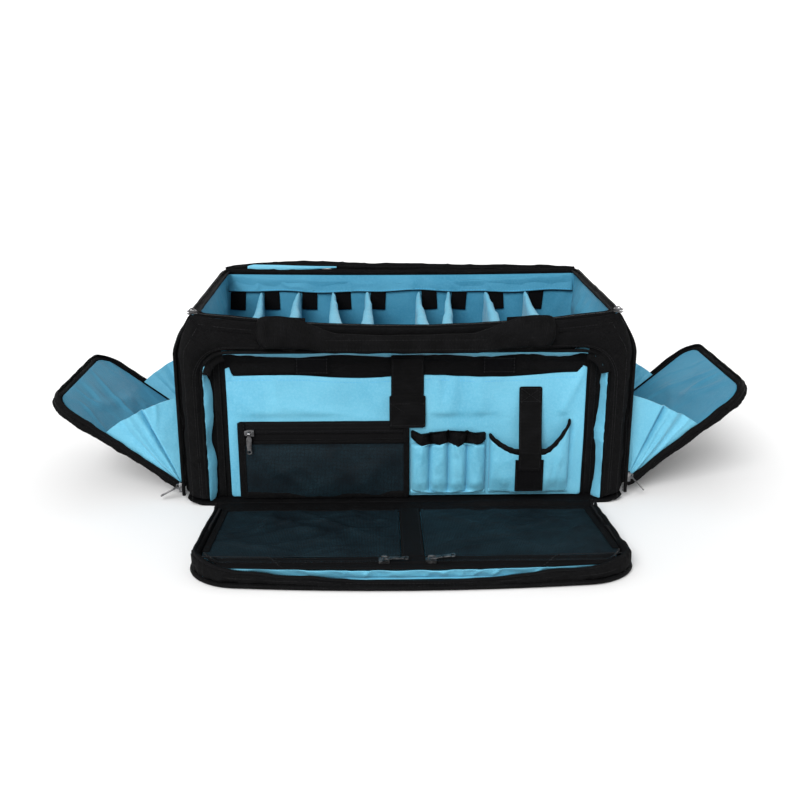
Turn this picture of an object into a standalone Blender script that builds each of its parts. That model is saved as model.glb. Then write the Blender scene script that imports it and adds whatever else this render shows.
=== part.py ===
"""Soft gear carry bag, standing open: padded tub with dividers, front organiser,
drop-down front flap, two end pockets, folded-back lid and carry handles.

Metres, +Z up. X runs across the bag, the front faces -Y, and the origin is the
centre of the base on the floor. Run with: blender --background --python part.py
"""
import math

import bmesh
import bpy
from mathutils import Matrix, Vector

# ---------------------------------------------------------------- driving sizes
GAP = 0.0003  # clearance between pieces that touch

BODY_WIDTH = 0.530
BODY_DEPTH = 0.270
BODY_HEIGHT = 0.228
RIM_SAG = 0.011  # front and back rims sag this much at their middle
SHOULDER_REACH = 0.023  # the ends draw in this far towards the rim
SHOULDER_DROP = 0.045
BOTTOM_RADIUS = 0.014
CORNER_RADIUS = 0.022
BASE_THICKNESS = 0.004

FRONT_RECESS = 0.014  # organiser panel behind the front face
PANEL_THICKNESS = 0.004
BACK_WALL_THICKNESS = 0.010
END_RECESS = 0.020  # depth of the pockets behind the end flaps

TUB_FRONT_WALL = 0.005
TUB_BACK_WALL = 0.006
TUB_END_WALL = 0.009
TUB_FLOOR = 0.005

ORGANISER_WIDTH = 0.462
ORGANISER_TOP = 0.186
ORGANISER_CORNER = 0.030
GUSSET_SLANT = 0.008

SHEET_WIDTH = 0.422
SHEET_TOP = 0.157
SHEET_FOOT = 0.006
CLOTH = 0.0022  # doubled lining cloth

HOOK_PATCH_LENGTH = 0.039
HOOK_PATCH_CENTRE = 0.1075
PATCH_THICKNESS = 0.0012

MESH_LEFT = -0.195
MESH_RIGHT = 0.0045
MESH_TOP = 0.075
MESH_ZIP_WIDTH = 0.026
MESH_THICKNESS = 0.0022

PEN_LEFT = 0.006
PEN_PITCH = 0.022
PEN_LOOPS = 4
PEN_DEPTH = 0.011
PEN_TOP = 0.075
PEN_ELASTIC_WIDTH = 0.014
PEN_FOOT = 0.012
POCKET_WALL = 0.0013

DEVICE_LEFT = 0.098
DEVICE_RIGHT = 0.192
DEVICE_DEPTH = 0.013
DEVICE_LOW = 0.062  # pocket edge at its dip
DEVICE_LEFT_RISE = 0.018
DEVICE_RIGHT_RISE = 0.036
DEVICE_ELASTIC_WIDTH = 0.006

STRAP_THICKNESS = 0.0020
DEVICE_STRAP_WIDTH = 0.027
DEVICE_STRAP_X = 0.1445
DEVICE_STRAP_TOP = 0.142
DEVICE_STRAP_END = 0.044
LOOP_PATCH_WIDTH = 0.033
LOOP_PATCH_LOW = 0.017
LOOP_PATCH_HIGH = 0.056

CENTRE_STRAP_X = 0.002
CENTRE_STRAP_WIDTH = 0.038
CENTRE_STRAP_END = MESH_TOP + MESH_ZIP_WIDTH + GAP * 3
CENTRE_PAD_HEIGHT = 0.030
CENTRE_PAD_EXTRA = 0.004

FLAP_HINGE_Y = -0.159
FLAP_HINGE_Z = 0.004
FLAP_STRIP_THICKNESS = 0.003  # cloth strip between the base and the flap
FLAP_LENGTH = 0.1825
FLAP_WIDTH = 0.442
FLAP_CORNER = 0.045
FLAP_BOW = 0.010  # the free edge's ends curve back this far
FLAP_PANEL = 0.005
FLAP_RIM_WIDTH = 0.009
FLAP_RIM_HINGE = 0.011  # rim heights above the floor
FLAP_RIM_CORNER = 0.024
FLAP_RIM_MIDDLE = 0.008
FLAP_LINING = 0.0015
FLAP_MESH_LOW = 0.0085
FLAP_MESH = 0.0012
FLAP_ZIP_WIDTH = 0.028
FLAP_ZIP_HEIGHT = 0.0165
FLAP_BAND_X = 0.003
FLAP_BAND_WIDTH = 0.024

END_FLAP_LENGTH = 0.188
END_FLAP_WIDTH = 0.222
END_FLAP_CORNER = 0.036
END_FLAP_THICKNESS = 0.008
END_BORDER = 0.009
END_LINING = 0.0015
END_HINGE_Z = 0.012
END_OPENING_WIDTH = 0.200
END_OPENING_TOP = 0.178
END_GUSSET_HEIGHT = 0.113
END_GUSSET_FOLD = 0.008
END_GUSSET_FOOT = 0.007  # the gusset stops this far from the fold
END_GUSSET_THICKNESS = 0.0015
LEFT_OPEN_DEG = 53.0
RIGHT_OPEN_DEG = 49.0

LID_HINGE_RISE = 0.006  # hinge line above the rim
LID_LENGTH = 0.270
LID_WIDTH = 0.478
LID_CORNER = 0.035
LID_THICKNESS = 0.009
LID_STRIP = 0.018  # thin fold between the hinge and the padding
LID_STRIP_THICKNESS = 0.0025
LID_LINING = 0.0015
LID_EDGE = 0.0022  # softened edge
HINGE_BAND_WIDTH = 0.440
HINGE_BAND_HEIGHT = 0.034
HINGE_BAND_THICKNESS = 0.0015

DIVIDER_THICKNESS = 0.008
DIVIDER_HEIGHT = 0.195
DIVIDER_BACKS = (-0.190, -0.139, -0.093, -0.046, 0.024, 0.064, 0.115, 0.169)
DIVIDER_FRONTS = (-0.184, -0.128, -0.080, -0.048, 0.025, 0.049, 0.107, 0.166)
TAB_LENGTH = 0.020
TAB_HEIGHT = 0.026

HANDLE_HALF = 0.152  # centre to the start of each end loop
HANDLE_LOOP_RADIUS = 0.0065
HANDLE_HEIGHT = 0.036
GRIP_HEIGHT = 0.024
WEBBING = 0.003
GRIP_THICKNESS = 0.006
RISER_WIDTH = 0.038
FRONT_HANDLE_TOP = 0.2275
BACK_HANDLE_TOP = 0.120
GRIP_DROP = 0.014

ZIP_TAPE = 0.0012
COIL_WIDTH = 0.0034
COIL_HEIGHT = 0.0012
SLIDER_LENGTH = 0.011
SLIDER_WIDTH = 0.008
SLIDER_HEIGHT = 0.0022
BRIDGE_SPAN = 0.0066
BRIDGE_RISE = 0.0026
BRIDGE_BAR = 0.0014
PULL_LENGTH = 0.025
PULL_WIDTH = 0.0062
PULL_THICKNESS = 0.0013
PULL_ARM = 0.0013
PULL_EYE = 0.0018
COLLAR_BORE = 0.0013
COLLAR_WALL = 0.0009

RIM_ZIP_WIDTH = 0.010
RIM_ZIP_HEIGHT = 0.0018

# ---------------------------------------------------------------- derived places
HALF_WIDTH = BODY_WIDTH / 2
FRONT = -BODY_DEPTH / 2
BACK = BODY_DEPTH / 2
PANEL_FRONT = FRONT + FRONT_RECESS
PANEL_BACK = PANEL_FRONT + PANEL_THICKNESS
TUB_FRONT = PANEL_BACK + GAP
TUB_BACK = BACK - BACK_WALL_THICKNESS - GAP
TUB_HALF = HALF_WIDTH - END_RECESS
BASE_TOP = BASE_THICKNESS + GAP
CAVITY_FRONT = TUB_FRONT + TUB_FRONT_WALL
CAVITY_BACK = TUB_BACK - TUB_BACK_WALL
CAVITY_HALF = TUB_HALF - TUB_END_WALL
CAVITY_FLOOR = BASE_TOP + TUB_FLOOR
SHEET_FRONT = PANEL_FRONT - GAP - CLOTH
POCKET_BACK = SHEET_FRONT - GAP
FLAP_FAR = FLAP_HINGE_Y - GAP
FLAP_NEAR = FLAP_FAR - FLAP_LENGTH
END_FACE = HALF_WIDTH + GAP
LID_HINGE_Z = BODY_HEIGHT + LID_HINGE_RISE
BAND_FRONT = BACK + GAP
BAND_BACK = BAND_FRONT + HINGE_BAND_THICKNESS
LID_HINGE_Y = BAND_BACK + GAP


def lid_rest_angle():
    """Angle from straight down at which the lid's free edge touches the floor."""
    edge = LID_THICKNESS - LID_EDGE
    reach = math.hypot(LID_LENGTH, edge)
    return math.acos((LID_HINGE_Z - GAP) / reach) + math.atan(edge / LID_LENGTH)


# ---------------------------------------------------------------- scene set-up
for old in list(bpy.data.objects):
    bpy.data.objects.remove(old, do_unlink=True)

bag = bpy.data.collections.new("gear_bag")
cutters = bpy.data.collections.new("cutters")
bpy.context.scene.collection.children.link(bag)
bpy.context.scene.collection.children.link(cutters)


def material(name, colour, roughness, metallic=0.0):
    made = bpy.data.materials.new(name)
    made.use_nodes = True
    shader = made.node_tree.nodes["Principled BSDF"]
    shader.inputs["Base Color"].default_value = (*colour, 1.0)
    shader.inputs["Roughness"].default_value = roughness
    shader.inputs["Metallic"].default_value = metallic
    made.diffuse_color = (*colour, 1.0)
    return made


BLACK_CLOTH = material("black_polyester", (0.014, 0.014, 0.015), 0.85)
BLACK_WEBBING = material("black_webbing", (0.008, 0.008, 0.009), 0.75)
BLACK_HOOK = material("hook_and_loop", (0.005, 0.005, 0.006), 0.95)
BLUE_LINING = material("sky_blue_lining", (0.130, 0.510, 0.790), 0.55)
DARK_MESH = material("dark_mesh", (0.012, 0.022, 0.034), 0.60)
ZIP_METAL = material("zip_metal", (0.55, 0.55, 0.57), 0.30, 1.0)


# ---------------------------------------------------------------- shape helpers
def arc(centre_x, centre_y, radius_x, radius_y, start_deg, end_deg, steps):
    """Points of an ellipse's arc, both ends included."""
    turns = [math.radians(start_deg + (end_deg - start_deg) * i / steps) for i in range(steps + 1)]
    return [(centre_x + radius_x * math.cos(t), centre_y + radius_y * math.sin(t)) for t in turns]


def rounded_box_outline(left, right, low, high, low_radius, high_radius, steps=6):
    """Anticlockwise outline with one radius for its two low corners and one for the high ones."""
    outline = []
    corners = (
        (left + low_radius, low + low_radius, low_radius, 180, left, low),
        (right - low_radius, low + low_radius, low_radius, 270, right, low),
        (right - high_radius, high - high_radius, high_radius, 0, right, high),
        (left + high_radius, high - high_radius, high_radius, 90, left, high),
    )
    for x, y, radius, start, corner_x, corner_y in corners:
        if radius > 0:
            outline += arc(x, y, radius, radius, start, start + 90, steps)
        else:
            outline.append((corner_x, corner_y))
    return outline


def offset_line(points, distance):
    """An open line moved to its left, with mitred corners."""
    moved = []
    for i, (x, y) in enumerate(points):
        before = Vector(points[i]) - Vector(points[i - 1]) if i else None
        after = Vector(points[i + 1]) - Vector(points[i]) if i + 1 < len(points) else None
        before = (before or after).normalized()
        after = (after or before).normalized()
        normal = Vector((-before.y - after.y, before.x + after.x)).normalized()
        stretch = distance / max(0.4, normal.dot(Vector((-before.y, before.x))))
        moved.append((x + normal.x * stretch, y + normal.y * stretch))
    return moved


def thicken(points, thickness):
    """Closed outline of a sheet whose one face is the open line."""
    return list(points) + list(reversed(offset_line(points, thickness)))


def add(name, mesh, look, collection=None):
    thing = bpy.data.objects.new(name, mesh)
    (collection or bag).objects.link(thing)
    if look:
        mesh.materials.clear()
        mesh.materials.append(look)
    return thing


def as_cutter(thing):
    for holder in list(thing.users_collection):
        holder.objects.unlink(thing)
    cutters.objects.link(thing)
    thing.hide_render = True
    thing.display_type = "WIRE"
    return thing


PLANES = {
    "XY": Matrix(((1, 0, 0), (0, 1, 0), (0, 0, 1))),
    "XZ": Matrix(((1, 0, 0), (0, 0, -1), (0, 1, 0))),
    "YZ": Matrix(((0, 0, 1), (1, 0, 0), (0, 1, 0))),
}


def prism(name, loops, plane, low, high, look=None):
    """A flat outline, with any holes, drawn in one plane and given thickness across it."""
    curve = bpy.data.curves.new(name + "_outline", "CURVE")
    curve.dimensions = "2D"
    curve.fill_mode = "BOTH"
    curve.extrude = (high - low) / 2
    for loop in loops:
        spline = curve.splines.new("POLY")
        spline.points.add(len(loop) - 1)
        for point, (x, y) in zip(spline.points, loop):
            point.co = (x, y, 0, 1)
        spline.use_cyclic_u = True
    drawn = bpy.data.objects.new(name + "_drawn", curve)
    bag.objects.link(drawn)
    bpy.context.view_layer.update()
    mesh = bpy.data.meshes.new_from_object(drawn.evaluated_get(bpy.context.evaluated_depsgraph_get()))
    bpy.data.objects.remove(drawn, do_unlink=True)
    bpy.data.curves.remove(curve)
    across = {"XY": (0, 0, 1), "XZ": (0, 1, 0), "YZ": (1, 0, 0)}[plane]
    mesh.transform(Matrix.Translation(Vector(across) * (low + high) / 2) @ PLANES[plane].to_4x4())
    tidy(mesh)
    mesh.name = name
    return add(name, mesh, look)


def tidy(mesh):
    """Weld loose caps, flatten triangulated faces together and turn all faces outward."""
    shape = bmesh.new()
    shape.from_mesh(mesh)
    bmesh.ops.remove_doubles(shape, verts=shape.verts, dist=1e-6)
    bmesh.ops.dissolve_limit(shape, angle_limit=0.002, verts=shape.verts, edges=shape.edges)
    bmesh.ops.recalc_face_normals(shape, faces=shape.faces)
    shape.to_mesh(mesh)
    shape.free()


def box(name, low, high, look=None):
    """A plain block between two corners."""
    mesh = bpy.data.meshes.new(name)
    shape = bmesh.new()
    bmesh.ops.create_cube(shape, size=1)
    size = Vector(high) - Vector(low)
    middle = (Vector(high) + Vector(low)) / 2
    bmesh.ops.scale(shape, vec=size, verts=shape.verts)
    bmesh.ops.translate(shape, vec=middle, verts=shape.verts)
    shape.to_mesh(mesh)
    shape.free()
    return add(name, mesh, look)


def loft(name, rings, look=None):
    """A solid through a row of like-numbered closed rings, capped at both ends."""
    mesh = bpy.data.meshes.new(name)
    shape = bmesh.new()
    rows = [[shape.verts.new(point) for point in ring] for ring in rings]
    count = len(rows[0])
    for here, there in zip(rows, rows[1:]):
        for i in range(count):
            j = (i + 1) % count
            shape.faces.new((here[i], here[j], there[j], there[i]))
    shape.faces.new(rows[0])
    shape.faces.new(rows[-1])
    bmesh.ops.recalc_face_normals(shape, faces=shape.faces)
    shape.to_mesh(mesh)
    shape.free()
    return add(name, mesh, look)


def boolean(thing, operation, *tools):
    """Cut, join or intersect with other solids, which become hidden cutters."""
    for tool in tools:
        step = thing.modifiers.new(operation.lower() + "_" + tool.name, "BOOLEAN")
        step.operation = operation
        step.solver = "EXACT"
        step.object = as_cutter(tool)
    return thing


def soften(thing, width, segments=1, angle_deg=40):
    """Small rounded edges."""
    step = thing.modifiers.new("soft_edges", "BEVEL")
    step.width = width
    step.segments = segments
    step.limit_method = "ANGLE"
    step.angle_limit = math.radians(angle_deg)
    return thing


def set_axis(pivot, *things):
    """Put each object's origin on a joint axis."""
    for thing in things:
        thing.data.transform(Matrix.Translation(-Vector(pivot)))
        thing.location = pivot


def hang(name, pivot, turn, things):
    """Parent pieces drawn in their closed place to an empty on their hinge, turned to rest."""
    hinge = bpy.data.objects.new(name, None)
    bag.objects.link(hinge)
    hinge.location = pivot
    hinge.rotation_euler = turn
    for thing in things:
        thing.data.transform(Matrix.Translation(-Vector(pivot)))
        thing.parent = hinge
        for step in thing.modifiers:
            if step.type == "BOOLEAN":
                step.object.data.transform(Matrix.Translation(-Vector(pivot)))
                step.object.parent = hinge
    return hinge


# ---------------------------------------------------------------- body outlines
def rim_height(x):
    """Height of the rim, which sags in a shallow curve between the shoulders."""
    flat = HALF_WIDTH - SHOULDER_REACH
    return BODY_HEIGHT - RIM_SAG * max(0.0, 1 - (x / flat) ** 2)


def silhouette(rim_steps=16):
    """The bag seen from the front: rounded bottom edges, shoulders and sagging rim."""
    right = arc(HALF_WIDTH - BOTTOM_RADIUS, BOTTOM_RADIUS, BOTTOM_RADIUS, BOTTOM_RADIUS, -90, 0, 4)
    right += arc(
        HALF_WIDTH - SHOULDER_REACH, BODY_HEIGHT - SHOULDER_DROP, SHOULDER_REACH, SHOULDER_DROP, 0, 90, 7
    )
    flat = HALF_WIDTH - SHOULDER_REACH
    rim = [flat * (1 - 2 * i / rim_steps) for i in range(1, rim_steps)]
    left = [(-x, z) for x, z in reversed(right)]
    return right + [(x, rim_height(x)) for x in rim] + left


def body_prism(name):
    return prism(name, [silhouette()], "XZ", FRONT - CORNER_RADIUS, BACK + CORNER_RADIUS)


def plan_outline():
    return rounded_box_outline(
        -HALF_WIDTH, HALF_WIDTH, FRONT, BACK, CORNER_RADIUS, CORNER_RADIUS, 5
    )


# ---------------------------------------------------------------- body pieces
def make_base():
    """Stiffened base, running forward under the front flap's hinge as a cloth strip."""
    base = prism("base_panel", [plan_outline()], "XY", 0, BASE_THICKNESS, BLACK_CLOTH)
    strip = box(
        "flap_strip",
        (-FLAP_WIDTH / 2, FLAP_HINGE_Y, 0),
        (FLAP_WIDTH / 2, FRONT + CORNER_RADIUS, FLAP_STRIP_THICKNESS),
    )
    boolean(base, "INTERSECT", body_prism("base_silhouette"))
    boolean(base, "UNION", strip)


def organiser_outline(inset, foot):
    """Arched opening of the front organiser, drawn in toward its middle by the inset."""
    half = ORGANISER_WIDTH / 2 - inset
    top = ORGANISER_TOP - inset
    radius = ORGANISER_CORNER - inset / 2
    return rounded_box_outline(-half, half, foot, top, 0, radius, 6)


def make_front_frame():
    """Padded front wall round the organiser's opening, with the sewn-on handle risers."""
    frame = prism(
        "front_frame", [silhouette()], "XZ", FRONT, PANEL_FRONT - GAP, BLACK_CLOTH
    )
    plan = prism("front_plan", [plan_outline()], "XY", BASE_TOP, BODY_HEIGHT * 1.1)
    opening = prism(
        "organiser_opening",
        [organiser_outline(0, -BASE_TOP)],
        "XZ",
        FRONT - FRONT_RECESS,
        PANEL_FRONT + GAP,
    )
    boolean(frame, "INTERSECT", plan)
    boolean(frame, "DIFFERENCE", opening)
    for side, x in (("left", -1), ("right", 1)):
        boolean(frame, "UNION", riser("front_riser_" + side, x, FRONT, -1, FRONT_HANDLE_TOP))
    return frame


def riser(name, side, wall, out, top):
    """Webbing end sewn flat to a wall, below and behind the handle's end loop."""
    middle = side * (HANDLE_HALF - RISER_WIDTH / 2)
    sewn = wall - out * WEBBING / 2
    face = wall + out * (WEBBING - GAP)
    low, high = sorted((sewn, face))
    return box(
        name,
        (middle - RISER_WIDTH / 2, low, top - HANDLE_HEIGHT),
        (middle + RISER_WIDTH / 2, high, top - WEBBING),
    )


def make_back_wall():
    """Back wall with the back handle's risers."""
    wall = prism(
        "back_wall", [silhouette()], "XZ", BACK - BACK_WALL_THICKNESS, BACK, BLACK_CLOTH
    )
    plan = prism("back_plan", [plan_outline()], "XY", BASE_TOP, BODY_HEIGHT * 1.1)
    boolean(wall, "INTERSECT", plan)
    for side, x in (("left", -1), ("right", 1)):
        boolean(wall, "UNION", riser("back_riser_" + side, x, BACK, 1, BACK_HANDLE_TOP))
    return wall


def make_end_frame(name, side):
    """Black frame round an end pocket's opening, between the front and back walls."""
    low, high = sorted((side * (TUB_HALF + GAP), side * HALF_WIDTH))
    front = PANEL_FRONT
    back = BACK - BACK_WALL_THICKNESS - GAP
    outline = [(front, BASE_TOP), (back, BASE_TOP), (back, BODY_HEIGHT * 1.1), (front, BODY_HEIGHT * 1.1)]
    frame = prism(name, [outline], "YZ", low, high, BLACK_CLOTH)
    half = END_OPENING_WIDTH / 2
    opening = prism(
        name + "_opening",
        [rounded_box_outline(-half, half, -BASE_TOP, END_OPENING_TOP, 0, END_FLAP_CORNER, 5)],
        "YZ",
        low - END_RECESS,
        high + END_RECESS,
    )
    boolean(frame, "INTERSECT", body_prism(name + "_silhouette"))
    boolean(frame, "DIFFERENCE", opening)


def make_tub():
    """Padded blue tub: the lining of the main compartment and the back of the end pockets."""
    plan = [(-TUB_HALF, TUB_FRONT), (TUB_HALF, TUB_FRONT), (TUB_HALF, TUB_BACK), (-TUB_HALF, TUB_BACK)]
    tub = prism("main_tub", [plan], "XY", BASE_TOP, BODY_HEIGHT * 1.1, BLUE_LINING)
    cavity = box(
        "main_cavity",
        (-CAVITY_HALF, CAVITY_FRONT, CAVITY_FLOOR),
        (CAVITY_HALF, CAVITY_BACK, BODY_HEIGHT * 1.2),
    )
    boolean(tub, "INTERSECT", body_prism("tub_silhouette"))
    boolean(tub, "DIFFERENCE", cavity)


def make_dividers():
    """Padded dividers across the tub, each with a hook-and-loop tab on the back wall."""
    low = CAVITY_FLOOR + GAP
    front = CAVITY_FRONT + GAP
    back = CAVITY_BACK - GAP
    half = DIVIDER_THICKNESS / 2
    for number, (back_x, front_x) in enumerate(zip(DIVIDER_BACKS, DIVIDER_FRONTS), 1):
        name = f"divider_{number}"
        plan = [(front_x - half, front), (front_x + half, front), (back_x + half, back), (back_x - half, back)]
        top = low + DIVIDER_HEIGHT
        divider = prism(name, [plan], "XY", low, top, BLUE_LINING)
        tab = box(
            name + "_tab",
            (back_x, back - PATCH_THICKNESS, top - TAB_HEIGHT),
            (back_x + half + TAB_LENGTH, back, top - GAP),
        )
        soften(divider, DIVIDER_THICKNESS * 0.3, 2)
        boolean(divider, "UNION", tab)


def sweep_flat(name, path, section, look):
    """Sweep a section along a level-turning path; the section is (outward, up) pairs."""
    rings = []
    for i, point in enumerate(path):
        here = Vector(point)
        before = (here - Vector(path[i - 1])).to_2d() if i else None
        after = (Vector(path[i + 1]) - here).to_2d() if i + 1 < len(path) else None
        before = (before if before is not None else after).normalized()
        after = (after if after is not None else before).normalized()
        outward = Vector((before.y + after.y, -before.x - after.x)).normalized()
        stretch = 1 / max(0.5, outward.dot(Vector((before.y, -before.x))))
        rings.append([
            here + Vector((outward.x * u * stretch, outward.y * u * stretch, v)) for u, v in section
        ])
    return loft(name, rings, look)


def make_rim_zip():
    """Zip tape round the mouth with a raised coil along its outer edge."""
    half_x = HALF_WIDTH - SHOULDER_REACH - RIM_ZIP_WIDTH / 2
    front_y = FRONT + RIM_ZIP_WIDTH / 2 + WEBBING
    radius = CORNER_RADIUS / 2
    end_y = BACK - BACK_WALL_THICKNESS - GAP * 2
    left = arc(-half_x + radius, front_y + radius, radius, radius, 180, 270, 4)
    right = [(-x, y) for x, y in reversed(left)]
    across = [(half_x * (i / 6 - 1) * 0.9, front_y) for i in range(1, 12)]
    plan = [(-half_x, end_y)] + left + across + right + [(half_x, end_y)]
    half = RIM_ZIP_WIDTH / 2
    path = [(x, y, rim_height(abs(x) + half) + GAP) for x, y in plan]
    coil = COIL_WIDTH
    tall = RIM_ZIP_HEIGHT + COIL_HEIGHT
    section = [
        (-half, 0), (half, 0), (half, tall * 0.7), (half - coil * 0.3, tall),
        (half - coil * 0.7, tall), (half - coil, RIM_ZIP_HEIGHT), (-half, RIM_ZIP_HEIGHT),
    ]
    sweep_flat("rim_zip", path, section, BLACK_CLOTH)


# ---------------------------------------------------------------- front organiser
def make_organiser_panel():
    half = TUB_HALF - GAP
    top = BODY_HEIGHT - RIM_SAG - PANEL_THICKNESS
    low = (-half, PANEL_FRONT, BASE_TOP)
    high = (half, PANEL_BACK, top)
    box("organiser_panel", low, high, BLACK_CLOTH)


def make_organiser_gusset():
    """Slanted lining between the opening's edge and the panel, open at the foot."""
    edge = organiser_outline(GAP, BASE_TOP)[1:] + organiser_outline(GAP, BASE_TOP)[:1]
    inner = organiser_outline(GAP + GUSSET_SLANT, BASE_TOP)[1:]
    inner += organiser_outline(GAP + GUSSET_SLANT, BASE_TOP)[:1]
    near = FRONT + GAP
    far = PANEL_FRONT - GAP
    rings = [
        [(x, near, z), (x, far, z), (u, far, w), ((x * 9 + u) / 10, near, (z * 9 + w) / 10)]
        for (x, z), (u, w) in zip(edge, inner)
    ]
    loft("organiser_gusset", rings, BLUE_LINING)


def make_slip_sheet():
    """Full-width slip pocket sheet in front of the panel."""
    half = SHEET_WIDTH / 2
    notch = CLOTH * 3
    outline = [
        (-half, SHEET_FOOT), (half, SHEET_FOOT), (half, SHEET_TOP + notch), (half - notch, SHEET_TOP + notch),
        (half - notch * 2, SHEET_TOP), (-half + notch * 2, SHEET_TOP), (-half + notch, SHEET_TOP + notch),
        (-half, SHEET_TOP + notch),
    ]
    prism("slip_pocket_sheet", [outline], "XZ", SHEET_FRONT, PANEL_FRONT - GAP, BLUE_LINING)
    for name, side in (("hook_patch_left", -1), ("hook_patch_right", 1)):
        middle = side * HOOK_PATCH_CENTRE
        low = (middle - HOOK_PATCH_LENGTH / 2, PANEL_FRONT - GAP - PATCH_THICKNESS, SHEET_TOP + GAP)
        high = (
            middle + HOOK_PATCH_LENGTH / 2,
            PANEL_FRONT - GAP,
            ORGANISER_TOP - GUSSET_SLANT - GAP * 3,
        )
        box(name, low, high, BLACK_HOOK)


def zip_tape(name, left, right, low, high, back, look=BLACK_CLOTH):
    """Upright zip tape with a coil ridge along its middle."""
    middle = (low + high) / 2
    front = back - ZIP_TAPE
    coil = COIL_WIDTH / 2
    outline = [
        (back, low), (back, high), (front, high), (front, middle + coil),
        (front - COIL_HEIGHT, middle + coil * 0.5), (front - COIL_HEIGHT, middle - coil * 0.5),
        (front, middle - coil), (front, low),
    ]
    return prism(name, [outline], "YZ", left, right, look)


def make_mesh_pocket():
    """Zipped mesh pocket at the organiser's left."""
    back = POCKET_BACK
    mesh = box(
        "mesh_pocket",
        (MESH_LEFT, back - MESH_THICKNESS, SHEET_FOOT),
        (MESH_RIGHT, back, MESH_TOP),
        DARK_MESH,
    )
    soften(mesh, MESH_THICKNESS * 0.4)
    zip_tape("mesh_pocket_zip", MESH_LEFT, MESH_RIGHT, MESH_TOP + GAP, MESH_TOP + GAP + MESH_ZIP_WIDTH, back)


def pen_outline():
    """Plan of the pen pocket's front: one arch for each channel, meeting at the seams."""
    wall = POCKET_WALL
    start = math.degrees(math.asin(wall / PEN_DEPTH))
    reach = PEN_PITCH / 2 / math.cos(math.radians(start))
    line = []
    for number in range(PEN_LOOPS):
        centre = PEN_LEFT + PEN_PITCH * (number + 0.5)
        arch = arc(centre, POCKET_BACK, reach, -PEN_DEPTH, 180 - start, start, 9)
        seam_x, seam_y = arch.pop()
        line += arch if number == 0 else arch[1:]
        line.append((seam_x, seam_y - wall * 0.06 * number))  # each seam stands a hair further out
    return line + [(PEN_LEFT + PEN_PITCH * PEN_LOOPS, POCKET_BACK), (PEN_LEFT, POCKET_BACK)]


def pen_channels(name, low, high):
    """Cutter for the open channels, one outline each."""
    reach = PEN_PITCH / 2 - POCKET_WALL
    depth = PEN_DEPTH - POCKET_WALL
    behind = POCKET_BACK + POCKET_WALL
    loops = []
    for number in range(PEN_LOOPS):
        centre = PEN_LEFT + PEN_PITCH * (number + 0.5)
        arch = arc(centre, POCKET_BACK, reach, -depth, 180, 0, 9)
        loops.append(arch + [(centre + reach, behind), (centre - reach, behind)])
    return prism(name, loops, "XY", low, high)


def make_pen_pocket():
    """Pleated pen channels with a black elastic edge above."""
    low = PEN_TOP + GAP
    high = low + PEN_ELASTIC_WIDTH
    pocket = prism("pen_pocket", [pen_outline()], "XY", PEN_FOOT, PEN_TOP, BLUE_LINING)
    boolean(pocket, "DIFFERENCE", pen_channels("pen_hollows", PEN_FOOT + POCKET_WALL, high))
    elastic = prism("pen_elastic", [pen_outline()], "XY", low, high, BLACK_WEBBING)
    boolean(elastic, "DIFFERENCE", pen_channels("pen_elastic_hollows", PEN_FOOT, high + PEN_DEPTH))


def device_edge(x):
    """Height of the device pocket's slack edge: high at its sides, level at its dip."""
    span = DEVICE_RIGHT - DEVICE_LEFT
    t = (x - DEVICE_LEFT) / span
    left = DEVICE_LEFT_RISE * max(0.0, 1 - t / 0.35) ** 1.6
    right = DEVICE_RIGHT_RISE * max(0.0, (t - 0.68) / 0.32) ** 1.5
    return DEVICE_LOW + left + right


def device_outline(inset, behind):
    """Plan of the bulging device pocket: full sides and a broad flat front."""
    half = (DEVICE_RIGHT - DEVICE_LEFT) / 2 - inset
    middle = (DEVICE_LEFT + DEVICE_RIGHT) / 2
    depth = DEVICE_DEPTH - inset
    line = []
    for x, y in arc(0, 0, 1, 1, 180, 0, 16):
        u = math.copysign(abs(x) ** 0.75, x)
        line.append((middle + half * u, POCKET_BACK - depth * max(0.0, y) ** 0.5))
    return line + [(middle + half, behind), (middle - half, behind)]


def device_band(name, lift_low, lift_high):
    """Region in front view between two copies of the pocket's slack edge."""
    count = 16
    xs = [DEVICE_LEFT - GAP + (DEVICE_RIGHT - DEVICE_LEFT + 2 * GAP) * i / count for i in range(count + 1)]
    high = [(x, device_edge(x) + lift_high) for x in xs]
    if lift_low is None:
        low = [(xs[-1], 0.0), (xs[0], 0.0)]
    else:
        low = [(x, device_edge(x) + lift_low) for x in reversed(xs)]
    return prism(name, [high + low], "XZ", POCKET_BACK - DEVICE_DEPTH * 2, POCKET_BACK + DEVICE_DEPTH)


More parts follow.
